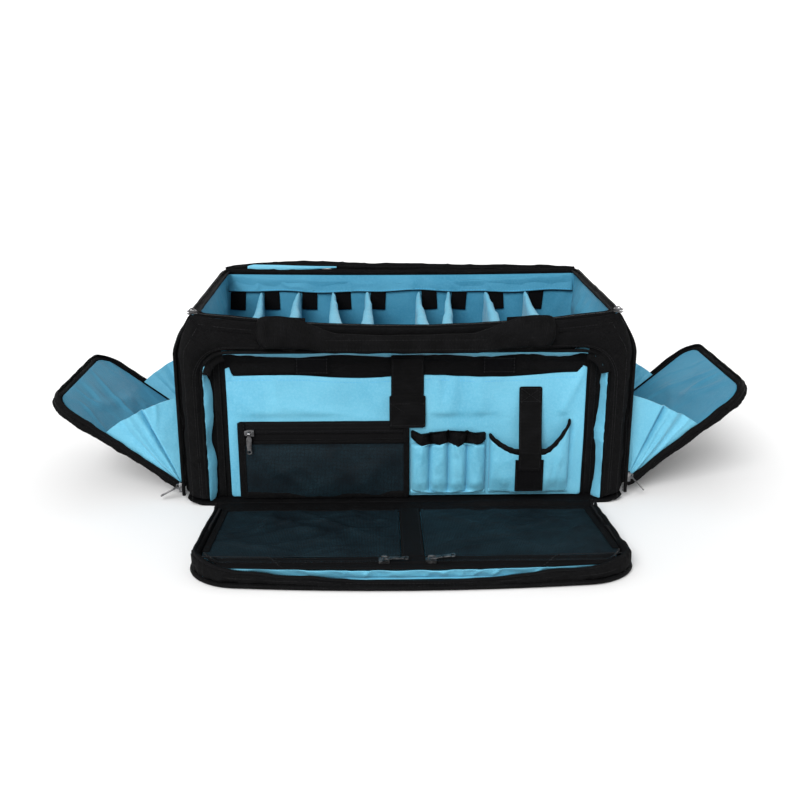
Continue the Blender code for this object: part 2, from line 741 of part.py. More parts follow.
def make_device_pocket():
    """Slack device pocket, its elastic edge, and the loop patch for the strap."""
    wall = POCKET_WALL
    behind = POCKET_BACK + wall
    top = DEVICE_LOW + DEVICE_RIGHT_RISE + DEVICE_ELASTIC_WIDTH * 2
    outer = [device_outline(0, POCKET_BACK)[:-2]]
    inner = [device_outline(wall, behind)]
    pocket = prism("device_pocket", outer, "XY", PEN_FOOT, top, BLUE_LINING)
    boolean(pocket, "DIFFERENCE", prism("device_hollow", inner, "XY", PEN_FOOT + wall, top * 1.1))
    boolean(pocket, "INTERSECT", device_band("device_below_edge", None, 0))
    elastic = prism("device_elastic", outer, "XY", PEN_FOOT, top, BLACK_WEBBING)
    boolean(elastic, "DIFFERENCE", prism("device_elastic_hollow", inner, "XY", 0, top * 1.1))
    boolean(elastic, "INTERSECT", device_band("device_edge_band", GAP, GAP + DEVICE_ELASTIC_WIDTH))
    face = POCKET_BACK - DEVICE_DEPTH - GAP
    box(
        "device_loop_patch",
        (DEVICE_STRAP_X - LOOP_PATCH_WIDTH / 2, face - PATCH_THICKNESS, LOOP_PATCH_LOW),
        (DEVICE_STRAP_X + LOOP_PATCH_WIDTH / 2, face, LOOP_PATCH_HIGH),
        BLACK_HOOK,
    )


def make_device_strap():
    """Retaining strap, sewn above the pocket and pressed on the loop patch."""
    face = POCKET_BACK - DEVICE_DEPTH - PATCH_THICKNESS - GAP * 2
    sheet = POCKET_BACK
    middle = (DEVICE_STRAP_TOP + LOOP_PATCH_HIGH) / 2
    line = [
        (sheet, DEVICE_STRAP_TOP), (sheet, DEVICE_STRAP_TOP - STRAP_THICKNESS * 4),
        ((sheet * 2 + face) / 3, middle + STRAP_THICKNESS * 4), (face, LOOP_PATCH_HIGH + STRAP_THICKNESS * 4),
        (face, DEVICE_STRAP_END),
    ]
    strap = prism(
        "device_strap",
        [thicken(line, -STRAP_THICKNESS)],
        "YZ",
        DEVICE_STRAP_X - DEVICE_STRAP_WIDTH / 2,
        DEVICE_STRAP_X + DEVICE_STRAP_WIDTH / 2,
        BLACK_WEBBING,
    )
    set_axis((DEVICE_STRAP_X, POCKET_BACK - STRAP_THICKNESS / 2, DEVICE_STRAP_TOP), strap)


def make_centre_strap():
    """Centre strap hung from the opening's top edge, with a wider pad at its free end."""
    pocket_y = POCKET_BACK
    slant = GUSSET_SLANT / (FRONT_RECESS - GAP * 2)
    sewn_y = FRONT + WEBBING + GAP * 2
    under = ORGANISER_TOP - GAP * 4
    sewn_z = under - (sewn_y - FRONT) * slant
    line = [
        (sewn_y, sewn_z), (pocket_y, under - (pocket_y - FRONT) * slant), (pocket_y, CENTRE_STRAP_END),
    ]
    left = CENTRE_STRAP_X - CENTRE_STRAP_WIDTH / 2
    right = CENTRE_STRAP_X + CENTRE_STRAP_WIDTH / 2
    strap = prism("centre_strap", [thicken(line, -STRAP_THICKNESS)], "YZ", left, right, BLACK_WEBBING)
    pad = box(
        "centre_pad",
        (left - CENTRE_PAD_EXTRA / 2, pocket_y - STRAP_THICKNESS - PATCH_THICKNESS, CENTRE_STRAP_END),
        (
            right + CENTRE_PAD_EXTRA / 2,
            pocket_y - STRAP_THICKNESS / 2,
            CENTRE_STRAP_END + CENTRE_PAD_HEIGHT,
        ),
    )
    boolean(strap, "UNION", pad)
    set_axis((CENTRE_STRAP_X, sewn_y - STRAP_THICKNESS / 4, sewn_z - STRAP_THICKNESS / 2), strap)


# ---------------------------------------------------------------- zip sliders
def slider_mesh(name):
    """Zip slider: grooved plate with the bridge that holds the pull.

    Drawn riding on a tape at z = 0 with the coil along X.
    """
    half_length = SLIDER_LENGTH / 2
    half_width = SLIDER_WIDTH / 2
    nose = half_width * 0.62
    low = GAP
    high = COIL_HEIGHT + GAP + SLIDER_HEIGHT
    outline = [
        (-half_length, -half_width), (half_length * 0.2, -half_width), (half_length, -nose),
        (half_length, nose), (half_length * 0.2, half_width), (-half_length, half_width),
    ]
    plate = prism(name, [outline], "XY", low, high, ZIP_METAL)
    groove = box(
        name + "_groove",
        (-SLIDER_LENGTH, -COIL_WIDTH / 2 - GAP, -COIL_HEIGHT),
        (SLIDER_LENGTH, COIL_WIDTH / 2 + GAP, COIL_HEIGHT + GAP * 2),
    )
    half_span = BRIDGE_SPAN / 2
    top = high + BRIDGE_RISE
    sunk = high - SLIDER_HEIGHT / 4
    bar = BRIDGE_BAR
    outer = [(half_span, sunk)] + arc(half_span - bar, top, bar, bar, 0, 90, 3)
    outer += [(-x, z) for x, z in reversed(outer)]
    roof = top + bar * 0.15
    inner = [(-half_span + bar, sunk), (-half_span + bar, roof), (half_span - bar, roof), (half_span - bar, sunk)]
    bridge = prism(name + "_bridge", [outer + inner], "XZ", -bar / 2, bar / 2)
    boolean(plate, "DIFFERENCE", groove)
    boolean(plate, "UNION", bridge)
    return plate


def pull_height():
    """Height of the pull's pin above the tape."""
    return COIL_HEIGHT + GAP + SLIDER_HEIGHT + BRIDGE_RISE / 2


def pull_mesh(name):
    """Zip pull: flat tab with a window for the bridge, a narrow neck and a round eye.

    Drawn flat with its pin at the origin, pointing along +X.
    """
    half = PULL_WIDTH / 2
    pin = PULL_THICKNESS / 2
    window_far = BRIDGE_SPAN / 2 + BRIDGE_BAR + GAP * 2
    eye_x = PULL_LENGTH - half
    neck = half * 0.62
    body = [
        (-pin, -half), (window_far, -half), (window_far + half, -neck), (eye_x - half, -neck),
    ]
    tip = arc(eye_x, 0, half, half, -135, 135, 9)
    outline = body + tip + [(x, -y) for x, y in reversed(body)]
    window = [
        (pin, -half + PULL_ARM), (pin, half - PULL_ARM),
        (window_far, half - PULL_ARM), (window_far, -half + PULL_ARM),
    ]
    eye = arc(eye_x, 0, PULL_EYE, PULL_EYE, 0, 320, 8)
    return prism(name, [outline, window, eye], "XY", -pin, pin, ZIP_METAL)


def drop_pull_mesh(name):
    """Pull for a level zip: a collar round the bridge's bar lets the tab hang across the tape.

    Drawn with the bar's middle at the origin and the tab pointing along -Y.
    """
    pin = PULL_THICKNESS / 2
    half = PULL_WIDTH / 2
    bore = COLLAR_BORE
    outer = bore + COLLAR_WALL
    far = BRIDGE_SPAN / 2 - BRIDGE_BAR - GAP * 1.2
    ring = [(math.cos(t) * outer, math.sin(t) * outer) for t in [math.pi * i / 8 for i in range(16)]]
    hole = [(math.cos(t) * bore, math.sin(t) * bore) for t in [math.pi * i / 6 + 0.1 for i in range(12)]]
    collar = prism(name, [ring, hole], "YZ", -far, far, ZIP_METAL)
    start = -(bore + COLLAR_WALL / 2)
    eye_y = -(PULL_LENGTH - half)
    side = [(far, start), (far, start - half * 0.5), (half, start - half * 1.2), (half * 0.8, eye_y + half)]
    tip = arc(0, eye_y, half, half, 25, -205, 9)
    outline = side + tip + [(-x, y) for x, y in reversed(side)]
    eye = arc(0, eye_y, PULL_EYE, PULL_EYE, 5, 320, 8)
    boolean(collar, "UNION", prism(name + "_tab", [outline, eye], "XY", -pin, pin))
    return collar


def place(thing, frame):
    """Carry a drawn piece, with its cutters, to its place."""
    thing.matrix_world = frame
    for step in thing.modifiers:
        if step.type == "BOOLEAN":
            step.object.matrix_world = frame


def frame_from(origin, along, up):
    """Placement whose X runs along one direction and whose Z points another way."""
    x = Vector(along).normalized()
    z = Vector(up).normalized()
    y = z.cross(x)
    placed = Matrix((x, y, z)).transposed().to_4x4()
    placed.translation = Vector(origin)
    return placed


def make_level_zip(prefix, origin):
    """A slider on the organiser's level tape with the pull hanging down from its bridge."""
    place(slider_mesh(prefix + "_slider"), frame_from(origin, (-1, 0, 0), (0, -1, 0)))
    bar_height = COIL_HEIGHT + GAP + SLIDER_HEIGHT + BRIDGE_RISE + BRIDGE_BAR * 0.575
    bar = Vector(origin) - Vector((0, bar_height, 0))
    place(drop_pull_mesh(prefix + "_pull"), frame_from(bar, (1, 0, 0), (0, -1, 0)))


def make_zip(prefix, origin, along, up, pull_along, pull_lift=0.0):
    """A slider on its tape and the pull hinged in its bridge."""
    slider = slider_mesh(prefix + "_slider")
    pull = pull_mesh(prefix + "_pull")
    place(slider, frame_from(origin, along, up))
    pin = Vector(origin) + Vector(up).normalized() * pull_height()
    direction = Vector(pull_along).normalized()
    normal = Vector(up).normalized()
    flat = (direction - normal * direction.dot(normal)).normalized()
    lean = (flat + normal * pull_lift).normalized()
    side = normal.cross(flat)
    place(pull, frame_from(pin, lean, lean.cross(side) * -1 if pull_lift else normal))


# ---------------------------------------------------------------- front flap
def flap_bow(x, y):
    """Depth of a flap point once the free edge is bowed."""
    share = max(0.0, (FLAP_FAR - y) / FLAP_LENGTH)
    return y + FLAP_BOW * (2 * x / FLAP_WIDTH) ** 2 * share**2


def flap_outline(inset):
    """Plan of the flap lying open, hinge side at the back."""
    half = FLAP_WIDTH / 2 - inset
    near = FLAP_NEAR + inset
    spread = FLAP_WIDTH / 2 / half

    def bowed_at(x, y):
        return x, flap_bow(x * spread, y - inset) + inset

    plain = rounded_box_outline(-half, half, near, FLAP_FAR - inset, FLAP_CORNER - inset, FLAP_RIM_WIDTH / 3, 7)
    bowed = []
    for i, (x, y) in enumerate(plain):
        u, v = plain[(i + 1) % len(plain)]
        bowed.append(bowed_at(x, y))
        if max(abs(y - near), abs(v - near)) < GAP / 10:
            for step in range(1, 8):
                bowed.append(bowed_at(x + (u - x) * step / 8, near))
    return bowed


def flap_rim_path():
    """Line round the flap's two sides and free edge, with the rim's height at each point."""
    half = FLAP_WIDTH / 2
    start = FLAP_FAR - FLAP_RIM_WIDTH / 2
    corner_y = FLAP_NEAR + FLAP_CORNER
    left = [(-half, start), (-half, (start + corner_y) / 2)]
    left += arc(-half + FLAP_CORNER, corner_y, FLAP_CORNER, FLAP_CORNER, 180, 270, 7)
    inner_half = half - FLAP_CORNER
    near = [(inner_half * (i / 4 - 1), FLAP_NEAR) for i in range(1, 8)]
    right = [(-x, y) for x, y in reversed(left)]
    return [(x, flap_bow(x, y)) for x, y in left + near + right]


def flap_rim_height(x, y):
    """The rim climbs from the hinge to the near corners and dips along the free edge."""
    half = FLAP_WIDTH / 2
    start = FLAP_HINGE_Y
    along = (start - y) / (start - FLAP_NEAR)
    side = FLAP_RIM_HINGE + (FLAP_RIM_CORNER - FLAP_RIM_HINGE) * min(1.0, along * 1.1)
    dip = (1 - (x / half) ** 2) * max(0.0, along) ** 3
    return side - (FLAP_RIM_CORNER - FLAP_RIM_MIDDLE) * dip


def make_flap_rim():
    """Cloth rim standing round the flap's free edges."""
    path = flap_rim_path()
    rings = []
    inner = offset_line(path, FLAP_RIM_WIDTH)
    low = FLAP_PANEL + GAP
    for (x, y), (u, v) in zip(path, inner):
        high = flap_rim_height(x, y)
        crown = high - FLAP_RIM_WIDTH * 0.12
        rings.append([(x, y, low), (x, y, crown), ((x + u) / 2, (y + v) / 2, high), (u, v, crown), (u, v, low)])
    loft("front_flap_rim", rings, BLACK_CLOTH)


def flap_slope(y):
    """Underside height of the sloping mesh at a distance from the hinge."""
    far = FLAP_HINGE_Y - FLAP_RIM_WIDTH
    near = FLAP_NEAR + FLAP_RIM_WIDTH + FLAP_ZIP_WIDTH
    share = (far - y) / (far - near)
    return FLAP_MESH_LOW + (FLAP_ZIP_HEIGHT - FLAP_MESH_LOW) * share


def sloped_sheet(name, left, right, far, near, thickness, look=None):
    """Sheet sloping up from the hinge side to the free edge."""
    line = [(far, flap_slope(far)), (near, flap_slope(near))]
    return prism(name, [thicken(line, -thickness)], "YZ", left, right, look)


def make_front_flap():
    """Front flap lying open on the floor, lining and mesh pockets up."""
    prism("front_flap_panel", [flap_outline(0)], "XY", 0, FLAP_PANEL, BLACK_CLOTH)
    make_flap_rim()
    inset = FLAP_RIM_WIDTH + GAP * 4
    low = FLAP_PANEL + GAP
    prism("front_flap_lining", [flap_outline(inset)], "XY", low, low + FLAP_LINING, BLUE_LINING)

    far = FLAP_HINGE_Y - FLAP_RIM_WIDTH
    near_band = FLAP_NEAR + inset
    zip_far = near_band + FLAP_ZIP_WIDTH
    mesh_near = zip_far + GAP
    half = FLAP_WIDTH / 2 - inset - GAP
    band_left = FLAP_BAND_X - FLAP_BAND_WIDTH / 2
    band_right = FLAP_BAND_X + FLAP_BAND_WIDTH / 2
    inside = [flap_outline(inset + GAP)]
    for name, left, right in (
        ("flap_mesh_left", -half, band_left - GAP),
        ("flap_mesh_right", band_right + GAP, half),
    ):
        mesh = sloped_sheet(name, left, right, far, mesh_near, FLAP_MESH, DARK_MESH)
        boolean(mesh, "INTERSECT", prism(name + "_edge", inside, "XY", -low, FLAP_ZIP_HEIGHT * 2))

    top = FLAP_ZIP_HEIGHT + ZIP_TAPE
    coil_y = near_band + FLAP_ZIP_WIDTH * 0.5
    coil = COIL_WIDTH / 2
    section = [
        (near_band, FLAP_ZIP_HEIGHT), (zip_far, FLAP_ZIP_HEIGHT), (zip_far, top), (coil_y + coil, top),
        (coil_y + coil * 0.5, top + COIL_HEIGHT), (coil_y - coil * 0.5, top + COIL_HEIGHT),
        (coil_y - coil, top), (near_band, top),
    ]
    band = prism("flap_zip_band", [section], "YZ", -half, half, BLACK_CLOTH)
    boolean(band, "INTERSECT", prism("flap_band_edge", inside, "XY", -low, FLAP_ZIP_HEIGHT * 2))
    boolean(band, "UNION", sloped_sheet("flap_centre_band", band_left, band_right, far, zip_far - GAP, ZIP_TAPE * 1.5))

    make_bellows(near_band, low + FLAP_LINING + GAP)
    middle = (coil_y, top)
    left_x = FLAP_BAND_X - FLAP_BAND_WIDTH - SLIDER_LENGTH / 2
    right_x = FLAP_BAND_X + FLAP_BAND_WIDTH / 2 + SLIDER_LENGTH / 2
    make_zip("flap_left", (left_x, *middle), (1, 0, 0), (0, 0, 1), (1, 0, 0))
    make_zip("flap_right", (right_x, *middle), (-1, 0, 0), (0, 0, 1), (1, 0, 0), pull_lift=0.12)
    for name in FLAP_NODES:
        set_axis_keeping_place(bpy.data.objects[name], (0, FLAP_HINGE_Y, FLAP_HINGE_Z))


def make_bellows(near_band, low):
    """Blue gusset that stands between the free edge's rim and the zip band."""
    half = FLAP_WIDTH / 2 - FLAP_CORNER
    wall = FLAP_LINING
    high = FLAP_ZIP_HEIGHT - GAP
    rings = []
    for i in range(13):
        x = half * (i / 6 - 1)
        bulge = wall * 1.2 * (1 - (x / half) ** 2)
        edge = flap_bow(x, near_band)
        foot = edge + wall * 2.5
        rings.append([
            (x, foot, low), (x, foot + wall, low), (x, edge + wall * 3.5 - bulge, high),
            (x, edge + wall * 2.5 - bulge, high),
        ])
    loft("flap_bellows", rings, BLUE_LINING)


def set_axis_keeping_place(thing, pivot):
    """Move an object's origin to a joint axis and leave the shape where it is."""
    thing.data.transform(Matrix.Translation(-Vector(pivot)))
    thing.location = pivot


FLAP_NODES = (
    "front_flap_panel", "front_flap_rim", "front_flap_lining", "flap_mesh_left",
    "flap_mesh_right", "flap_zip_band", "flap_bellows",
)


# ---------------------------------------------------------------- end pockets
def make_end_flap(name, side, open_deg):
    """End flap with its lining, drawn closed against the end and turned out to rest."""
    hinge_x = side * END_FACE
    half = END_FLAP_WIDTH / 2
    low = END_HINGE_Z + GAP
    high = low + END_FLAP_LENGTH
    skin = [rounded_box_outline(-half, half, low, high, END_BORDER, END_FLAP_CORNER, 6)]
    lined = [rounded_box_outline(
        -half + END_BORDER, half - END_BORDER, low + END_BORDER, high - END_BORDER,
        END_BORDER / 2, END_FLAP_CORNER - END_BORDER, 6,
    )]
    near, far = sorted((hinge_x, hinge_x + side * END_FLAP_THICKNESS))
    panel = prism(name + "_panel", skin, "YZ", near, far, BLACK_CLOTH)
    inner_low, inner_high = sorted((hinge_x - side * END_LINING, hinge_x + side * (END_LINING + GAP)))
    seat = prism(name + "_seat", lined, "YZ", inner_low, inner_high)
    soften(panel, END_FLAP_THICKNESS * 0.3, 1)
    boolean(panel, "DIFFERENCE", seat)
    inside = GAP * 2
    fitted = [rounded_box_outline(
        -half + END_BORDER + inside, half - END_BORDER - inside,
        low + END_BORDER + inside, high - END_BORDER - inside,
        END_BORDER / 2, END_FLAP_CORNER - END_BORDER, 6,
    )]
    lining_low, lining_high = sorted((hinge_x, hinge_x + side * END_LINING))
    lining = prism(name + "_lining", fitted, "YZ", lining_low, lining_high, BLUE_LINING)
    turn = side * math.radians(open_deg)
    hang(name + "_hinge", (hinge_x, 0, END_HINGE_Z), (0, turn, 0), (panel, lining))


def make_end_gusset(name, side, end, open_deg):
    """Folding gusset between the frame and the open flap, creased down its middle."""
    y = end * (END_FLAP_WIDTH / 2 - END_BORDER / 2)
    wall = end * END_GUSSET_THICKNESS
    rings = []
    for share, length, fold in ((0.0, 1.0, 0.0), (0.45, 0.97, END_GUSSET_FOLD), (1.0, 1.0, 0.0)):
        turn = math.radians(open_deg) * share
        lift = GAP * share  # clear of the open flap
        ring = []
        for reach, bulge in ((END_GUSSET_FOOT, fold * 0.1), (END_GUSSET_HEIGHT * length, fold)):
            x = side * (END_FACE + reach * math.sin(turn) - lift * math.cos(turn))
            z = END_HINGE_Z + reach * math.cos(turn) + lift * math.sin(turn)
            outer = y + end * bulge
            ring.append(((x, outer, z), (x, outer - wall, z)))
        (low_out, low_in), (high_out, high_in) = ring
        rings.append([low_out, high_out, high_in, low_in])
    loft(name, rings, BLUE_LINING)


def make_end_zips():
    """Slider parked at the front foot of each end pocket's zip, its pull hanging outward."""
    for name, side, height, drop in (("left_end", -1, 0.0, 0.55), ("right_end", 1, 0.009, 1.1)):
        wall_x = side * HALF_WIDTH
        corner_y = FRONT + CORNER_RADIUS - SLIDER_WIDTH / 2
        origin = (wall_x + side * GAP, corner_y, END_HINGE_Z + SLIDER_LENGTH / 2 + height)
        make_zip(name, origin, (0, 0, 1), (side, 0, 0), (0, 0, -1), pull_lift=1 / drop)


# ---------------------------------------------------------------- handles
def handle_section(half_height, half_thick, centre, normal):
    """Four corners of a webbing section standing on a plan point."""
    x, y, z = centre
    nx, ny = normal
    return [
        (x + nx * half_thick, y + ny * half_thick, z - half_height),
        (x + nx * half_thick, y + ny * half_thick, z + half_height),
        (x - nx * half_thick, y - ny * half_thick, z + half_height),
        (x - nx * half_thick, y - ny * half_thick, z - half_height),
    ]


def make_handle(name, wall, out, top, drop):
    """Webbing handle: flat on the wall, round each end loop and across as a folded grip."""
    loop = HANDLE_LOOP_RADIUS
    back_y = wall + out * (WEBBING + GAP + WEBBING / 2)
    front_y = back_y + out * loop * 2
    start = HANDLE_HALF - RISER_WIDTH
    plan = [(-start, back_y), (-HANDLE_HALF, back_y)]
    turn = arc(-HANDLE_HALF, (back_y + front_y) / 2, loop * 1.6, loop, out * -90, out * -90 - out * 180, 8)
    turn = [(x, y) for x, y in turn]
    plan += turn[1:-1] + [(-HANDLE_HALF, front_y)]
    grip_half = HANDLE_HALF * 0.62
    plan += [(-HANDLE_HALF * 0.82, front_y), (-grip_half, front_y)]
    plan += [(-grip_half * 0.5, front_y), (0, front_y)]
    plan += [(-x, y) for x, y in reversed(plan[:-1])]
    rings = []
    for i, (x, y) in enumerate(plan):
        before = Vector((x - plan[i - 1][0], y - plan[i - 1][1])) if i else None
        after = Vector((plan[i + 1][0] - x, plan[i + 1][1] - y)) if i + 1 < len(plan) else None
        before = (before if before is not None else after).normalized()
        after = (after if after is not None else before).normalized()
        along = (before + after).normalized()
        on_grip = abs(y - front_y) < WEBBING / 4
        share = 1.0 if on_grip and abs(x) <= grip_half + GAP else 0.0
        if on_grip and grip_half < abs(x) < HANDLE_HALF * 0.9:
            share = 0.5
        half_height = (HANDLE_HEIGHT + (GRIP_HEIGHT - HANDLE_HEIGHT) * share) / 2
        half_thick = (WEBBING + (GRIP_THICKNESS - WEBBING) * share) / 2
        centre_z = top - HANDLE_HEIGHT / 2 - (drop - HANDLE_HEIGHT / 2 + GRIP_HEIGHT / 2) * share
        rings.append(handle_section(half_height, half_thick, (x, y, centre_z), (-along.y, along.x)))
    handle = loft(name, rings, BLACK_WEBBING)
    set_axis((0, (back_y + front_y) / 2, top), handle)


# ---------------------------------------------------------------- lid
def make_lid():
    """Padded lid drawn closed, then folded back until its free edge meets the floor."""
    half = LID_WIDTH / 2
    far = LID_HINGE_Y - GAP * 8
    near = LID_HINGE_Y - LID_LENGTH
    padded = LID_HINGE_Y - LID_STRIP
    low = LID_HINGE_Z - GAP * 3
    outline = rounded_box_outline(-half, half, near, padded, LID_CORNER / 2, LID_CORNER / 3, 5)
    panel = prism("lid_panel", [outline], "XY", low + LID_LINING + GAP, LID_HINGE_Z + LID_THICKNESS, BLACK_CLOTH)
    inside = padded - LID_THICKNESS / 2
    thin = LID_STRIP_THICKNESS
    profile = [
        (far, LID_HINGE_Z - thin * 0.4), (far, LID_HINGE_Z + thin * 0.6),
        (inside, LID_HINGE_Z + LID_THICKNESS * 0.7), (inside, LID_HINGE_Z + LID_THICKNESS * 0.35),
    ]
    strip = prism("lid_fold", [profile], "YZ", -HINGE_BAND_WIDTH / 2, HINGE_BAND_WIDTH / 2)
    soften(panel, LID_EDGE, 1)
    boolean(panel, "UNION", strip)
    inset = END_BORDER
    lined = rounded_box_outline(
        -half + inset, half - inset, near + inset, padded - inset / 2, LID_CORNER / 3, LID_CORNER / 4, 5
    )
    lining = prism("lid_lining", [lined], "XY", low, low + LID_LINING, BLUE_LINING)
    opened = -(math.pi + math.pi / 2 - lid_rest_angle())
    hang("lid_hinge", (0, LID_HINGE_Y, LID_HINGE_Z), (opened, 0, 0), (panel, lining))


def make_hinge_band():
    """Cloth band behind the back rim that the lid folds from."""
    half = HINGE_BAND_WIDTH / 2
    high = LID_HINGE_Z - GAP * 8
    outline = rounded_box_outline(-half, half, high - HINGE_BAND_HEIGHT, high, 0, HINGE_BAND_HEIGHT / 4, 3)
    prism("lid_hinge_band", [outline], "XZ", BAND_FRONT, BAND_BACK, BLACK_CLOTH)


# ---------------------------------------------------------------- build
make_base()
make_front_frame()
make_back_wall()
make_end_frame("left_end_frame", -1)
make_end_frame("right_end_frame", 1)
make_tub()
make_dividers()
make_rim_zip()

make_organiser_panel()
make_organiser_gusset()
make_slip_sheet()
make_mesh_pocket()
make_pen_pocket()
make_device_pocket()
make_device_strap()
make_centre_strap()
zip_height = MESH_TOP + GAP + MESH_ZIP_WIDTH / 2
make_level_zip("organiser", (MESH_LEFT + SLIDER_LENGTH * 1.2, POCKET_BACK - ZIP_TAPE, zip_height))

make_front_flap()
make_end_flap("left_end_flap", -1, LEFT_OPEN_DEG)
make_end_flap("right_end_flap", 1, RIGHT_OPEN_DEG)
for end_name, end in (("front", -1), ("back", 1)):
    make_end_gusset("left_gusset_" + end_name, -1, end, LEFT_OPEN_DEG)
    make_end_gusset("right_gusset_" + end_name, 1, end, RIGHT_OPEN_DEG)
make_end_zips()

make_handle("front_handle", FRONT, -1, FRONT_HANDLE_TOP, GRIP_DROP)
make_handle("back_handle", BACK, 1, BACK_HANDLE_TOP, GRIP_DROP)
make_hinge_band()
make_lid()
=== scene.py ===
import math

import bmesh
import bpy
import numpy as np
from mathutils import Matrix, Vector
from mathutils.bvhtree import BVHTree


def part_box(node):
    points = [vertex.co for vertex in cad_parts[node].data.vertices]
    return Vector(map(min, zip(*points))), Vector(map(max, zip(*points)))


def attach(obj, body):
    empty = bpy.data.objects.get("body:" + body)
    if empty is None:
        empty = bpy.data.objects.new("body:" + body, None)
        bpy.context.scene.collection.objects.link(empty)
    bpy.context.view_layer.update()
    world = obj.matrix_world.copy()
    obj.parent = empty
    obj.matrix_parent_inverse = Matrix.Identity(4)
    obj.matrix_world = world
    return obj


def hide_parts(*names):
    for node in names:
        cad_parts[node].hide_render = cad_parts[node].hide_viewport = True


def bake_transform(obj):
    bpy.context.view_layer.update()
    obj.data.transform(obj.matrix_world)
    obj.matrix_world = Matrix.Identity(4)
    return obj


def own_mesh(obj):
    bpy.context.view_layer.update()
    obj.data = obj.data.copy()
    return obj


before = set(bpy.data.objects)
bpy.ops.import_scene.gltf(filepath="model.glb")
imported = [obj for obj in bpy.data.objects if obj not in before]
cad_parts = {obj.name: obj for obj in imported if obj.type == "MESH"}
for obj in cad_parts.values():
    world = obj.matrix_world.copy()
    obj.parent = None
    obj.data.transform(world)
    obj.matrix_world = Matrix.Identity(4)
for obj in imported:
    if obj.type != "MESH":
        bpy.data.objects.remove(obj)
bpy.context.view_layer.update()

# lengths in metres, angles in degrees
BACKWARD, FORWARD, UPWARD, DOWNWARD = (0, 1, 0), (0, -1, 0), (0, 0, 1), (0, 0, -1)
SIDES = (("left", -1), ("right", 1))
FLAP_HALF = 0.221
FLAP_STRETCH_RIGHT, FLAP_STRETCH_LEFT = 0.0078, -0.0034
RIM_TOP, RIM_DIP, RIM_HALF = 0.228, 0.011, 0.242
FRONT_SAG = 0.0050
SHOULDER_DRAW = 0.0105
PEN_START, PEN_WIDTH = 0.006, 0.022
END_HINGE_X, END_HINGE_Z = 0.2653, 0.012
END_LINING_WIDE = 0.2028
CAMERA_AIM, CAMERA_DISTANCE = (-0.004, 0.0, 0.086), 1.286
CAMERA_TURN, CAMERA_RISE = -1.2, 18.0
CAMERA_LENS = (45, 36)
SUN_POWER, SUN_SPREAD, SKY_POWER = 2.6, 34, 0.55
FLOOR_GLOW, WALL_GLOW = 0.24, 0.9


# ---------------------------------------------------------------- the bench: small helpers


def let_go():
    if bpy.context.object and bpy.context.object.mode != "OBJECT":
        bpy.ops.object.mode_set(mode="OBJECT")
    bpy.ops.object.select_all(action="DESELECT")


def hold(obj):
    let_go()
    obj.select_set(True)
    bpy.context.view_layer.objects.active = obj
    return obj


def use(obj, kind, **settings):
    """Adds a modifier with these settings and applies it."""
    hold(obj)
    step = obj.modifiers.new(kind.title(), kind)
    for key, value in settings.items():
        setattr(step, key, value)
    bpy.ops.object.modifier_apply(modifier=step.name)
    return obj


def points_of(obj):
    flat = np.empty(len(obj.data.vertices) * 3)
    obj.data.vertices.foreach_get("co", flat)
    return flat.reshape(-1, 3)


def put_points(obj, points):
    obj.data.vertices.foreach_set("co", np.ascontiguousarray(points, float).ravel())
    obj.data.update()


def normals_of(obj):
    flat = np.empty(len(obj.data.vertices) * 3)
    obj.data.vertex_normals.foreach_get("vector", flat)
    return flat.reshape(-1, 3)


def settle(obj):
    """Puts the piece's place into its mesh, so that its object sits at the origin."""
    hold(obj)
    bpy.ops.object.transform_apply(location=True, rotation=True, scale=True)
    return obj


def lay_grain(obj, turned=False):
    """Weave coordinates in metres, laid flat on each side of the piece."""
    mesh = obj.data
    layer = mesh.uv_layers.get("grain") or mesh.uv_layers.new(name="grain")
    count = len(mesh.loops)
    corner = np.empty(count, int)
    mesh.loops.foreach_get("vertex_index", corner)
    places = points_of(obj)[corner]
    facing = np.empty(len(mesh.polygons) * 3)
    mesh.polygons.foreach_get("normal", facing)
    totals = np.empty(len(mesh.polygons), int)
    mesh.polygons.foreach_get("loop_total", totals)
    facing = np.repeat(np.abs(facing.reshape(-1, 3)), totals, axis=0)
    main = facing.argmax(axis=1)
    across = np.where(main == 0, places[:, 1], places[:, 0])
    up = np.where(main == 2, places[:, 1], places[:, 2])
    layer.data.foreach_set("uv", np.stack([up, across] if turned else [across, up], 1).ravel())
    mesh.uv_layers.active = layer
    return obj


def lay_sheet(obj):
    """Measures a cloth's widest side; nothing is done with the measure."""
    wide = max(np.ptp(points_of(obj), axis=0))


def finish_piece(obj, body, look, nodes=(), smooth=40):
    """The last steps for each piece: finish, grain, shading, the body it moves with."""
    if look is not None:
        obj.data.materials.clear()
        obj.data.materials.append(look)
    if not obj.data.uv_layers.get("grain"):
        lay_grain(obj)
    hold(obj)
    bpy.ops.object.shade_smooth_by_angle(angle=math.radians(smooth))
    if body:
        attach(obj, body)
    if nodes:
        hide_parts(*nodes)
    if body == "front_flap":
        put_points(obj, flap_spread(points_of(obj)))
    return obj


def flap_spread(points):
    """The flap's corners lie spread a little wider than its hinge."""
    points = np.array(points, float)
    share = (points[:, 0] / FLAP_HALF) ** 2 * fade(-points[:, 1], 0.175, 0.315)
    points[:, 0] += np.where(points[:, 0] > 0, FLAP_STRETCH_RIGHT, FLAP_STRETCH_LEFT) * share
    return points


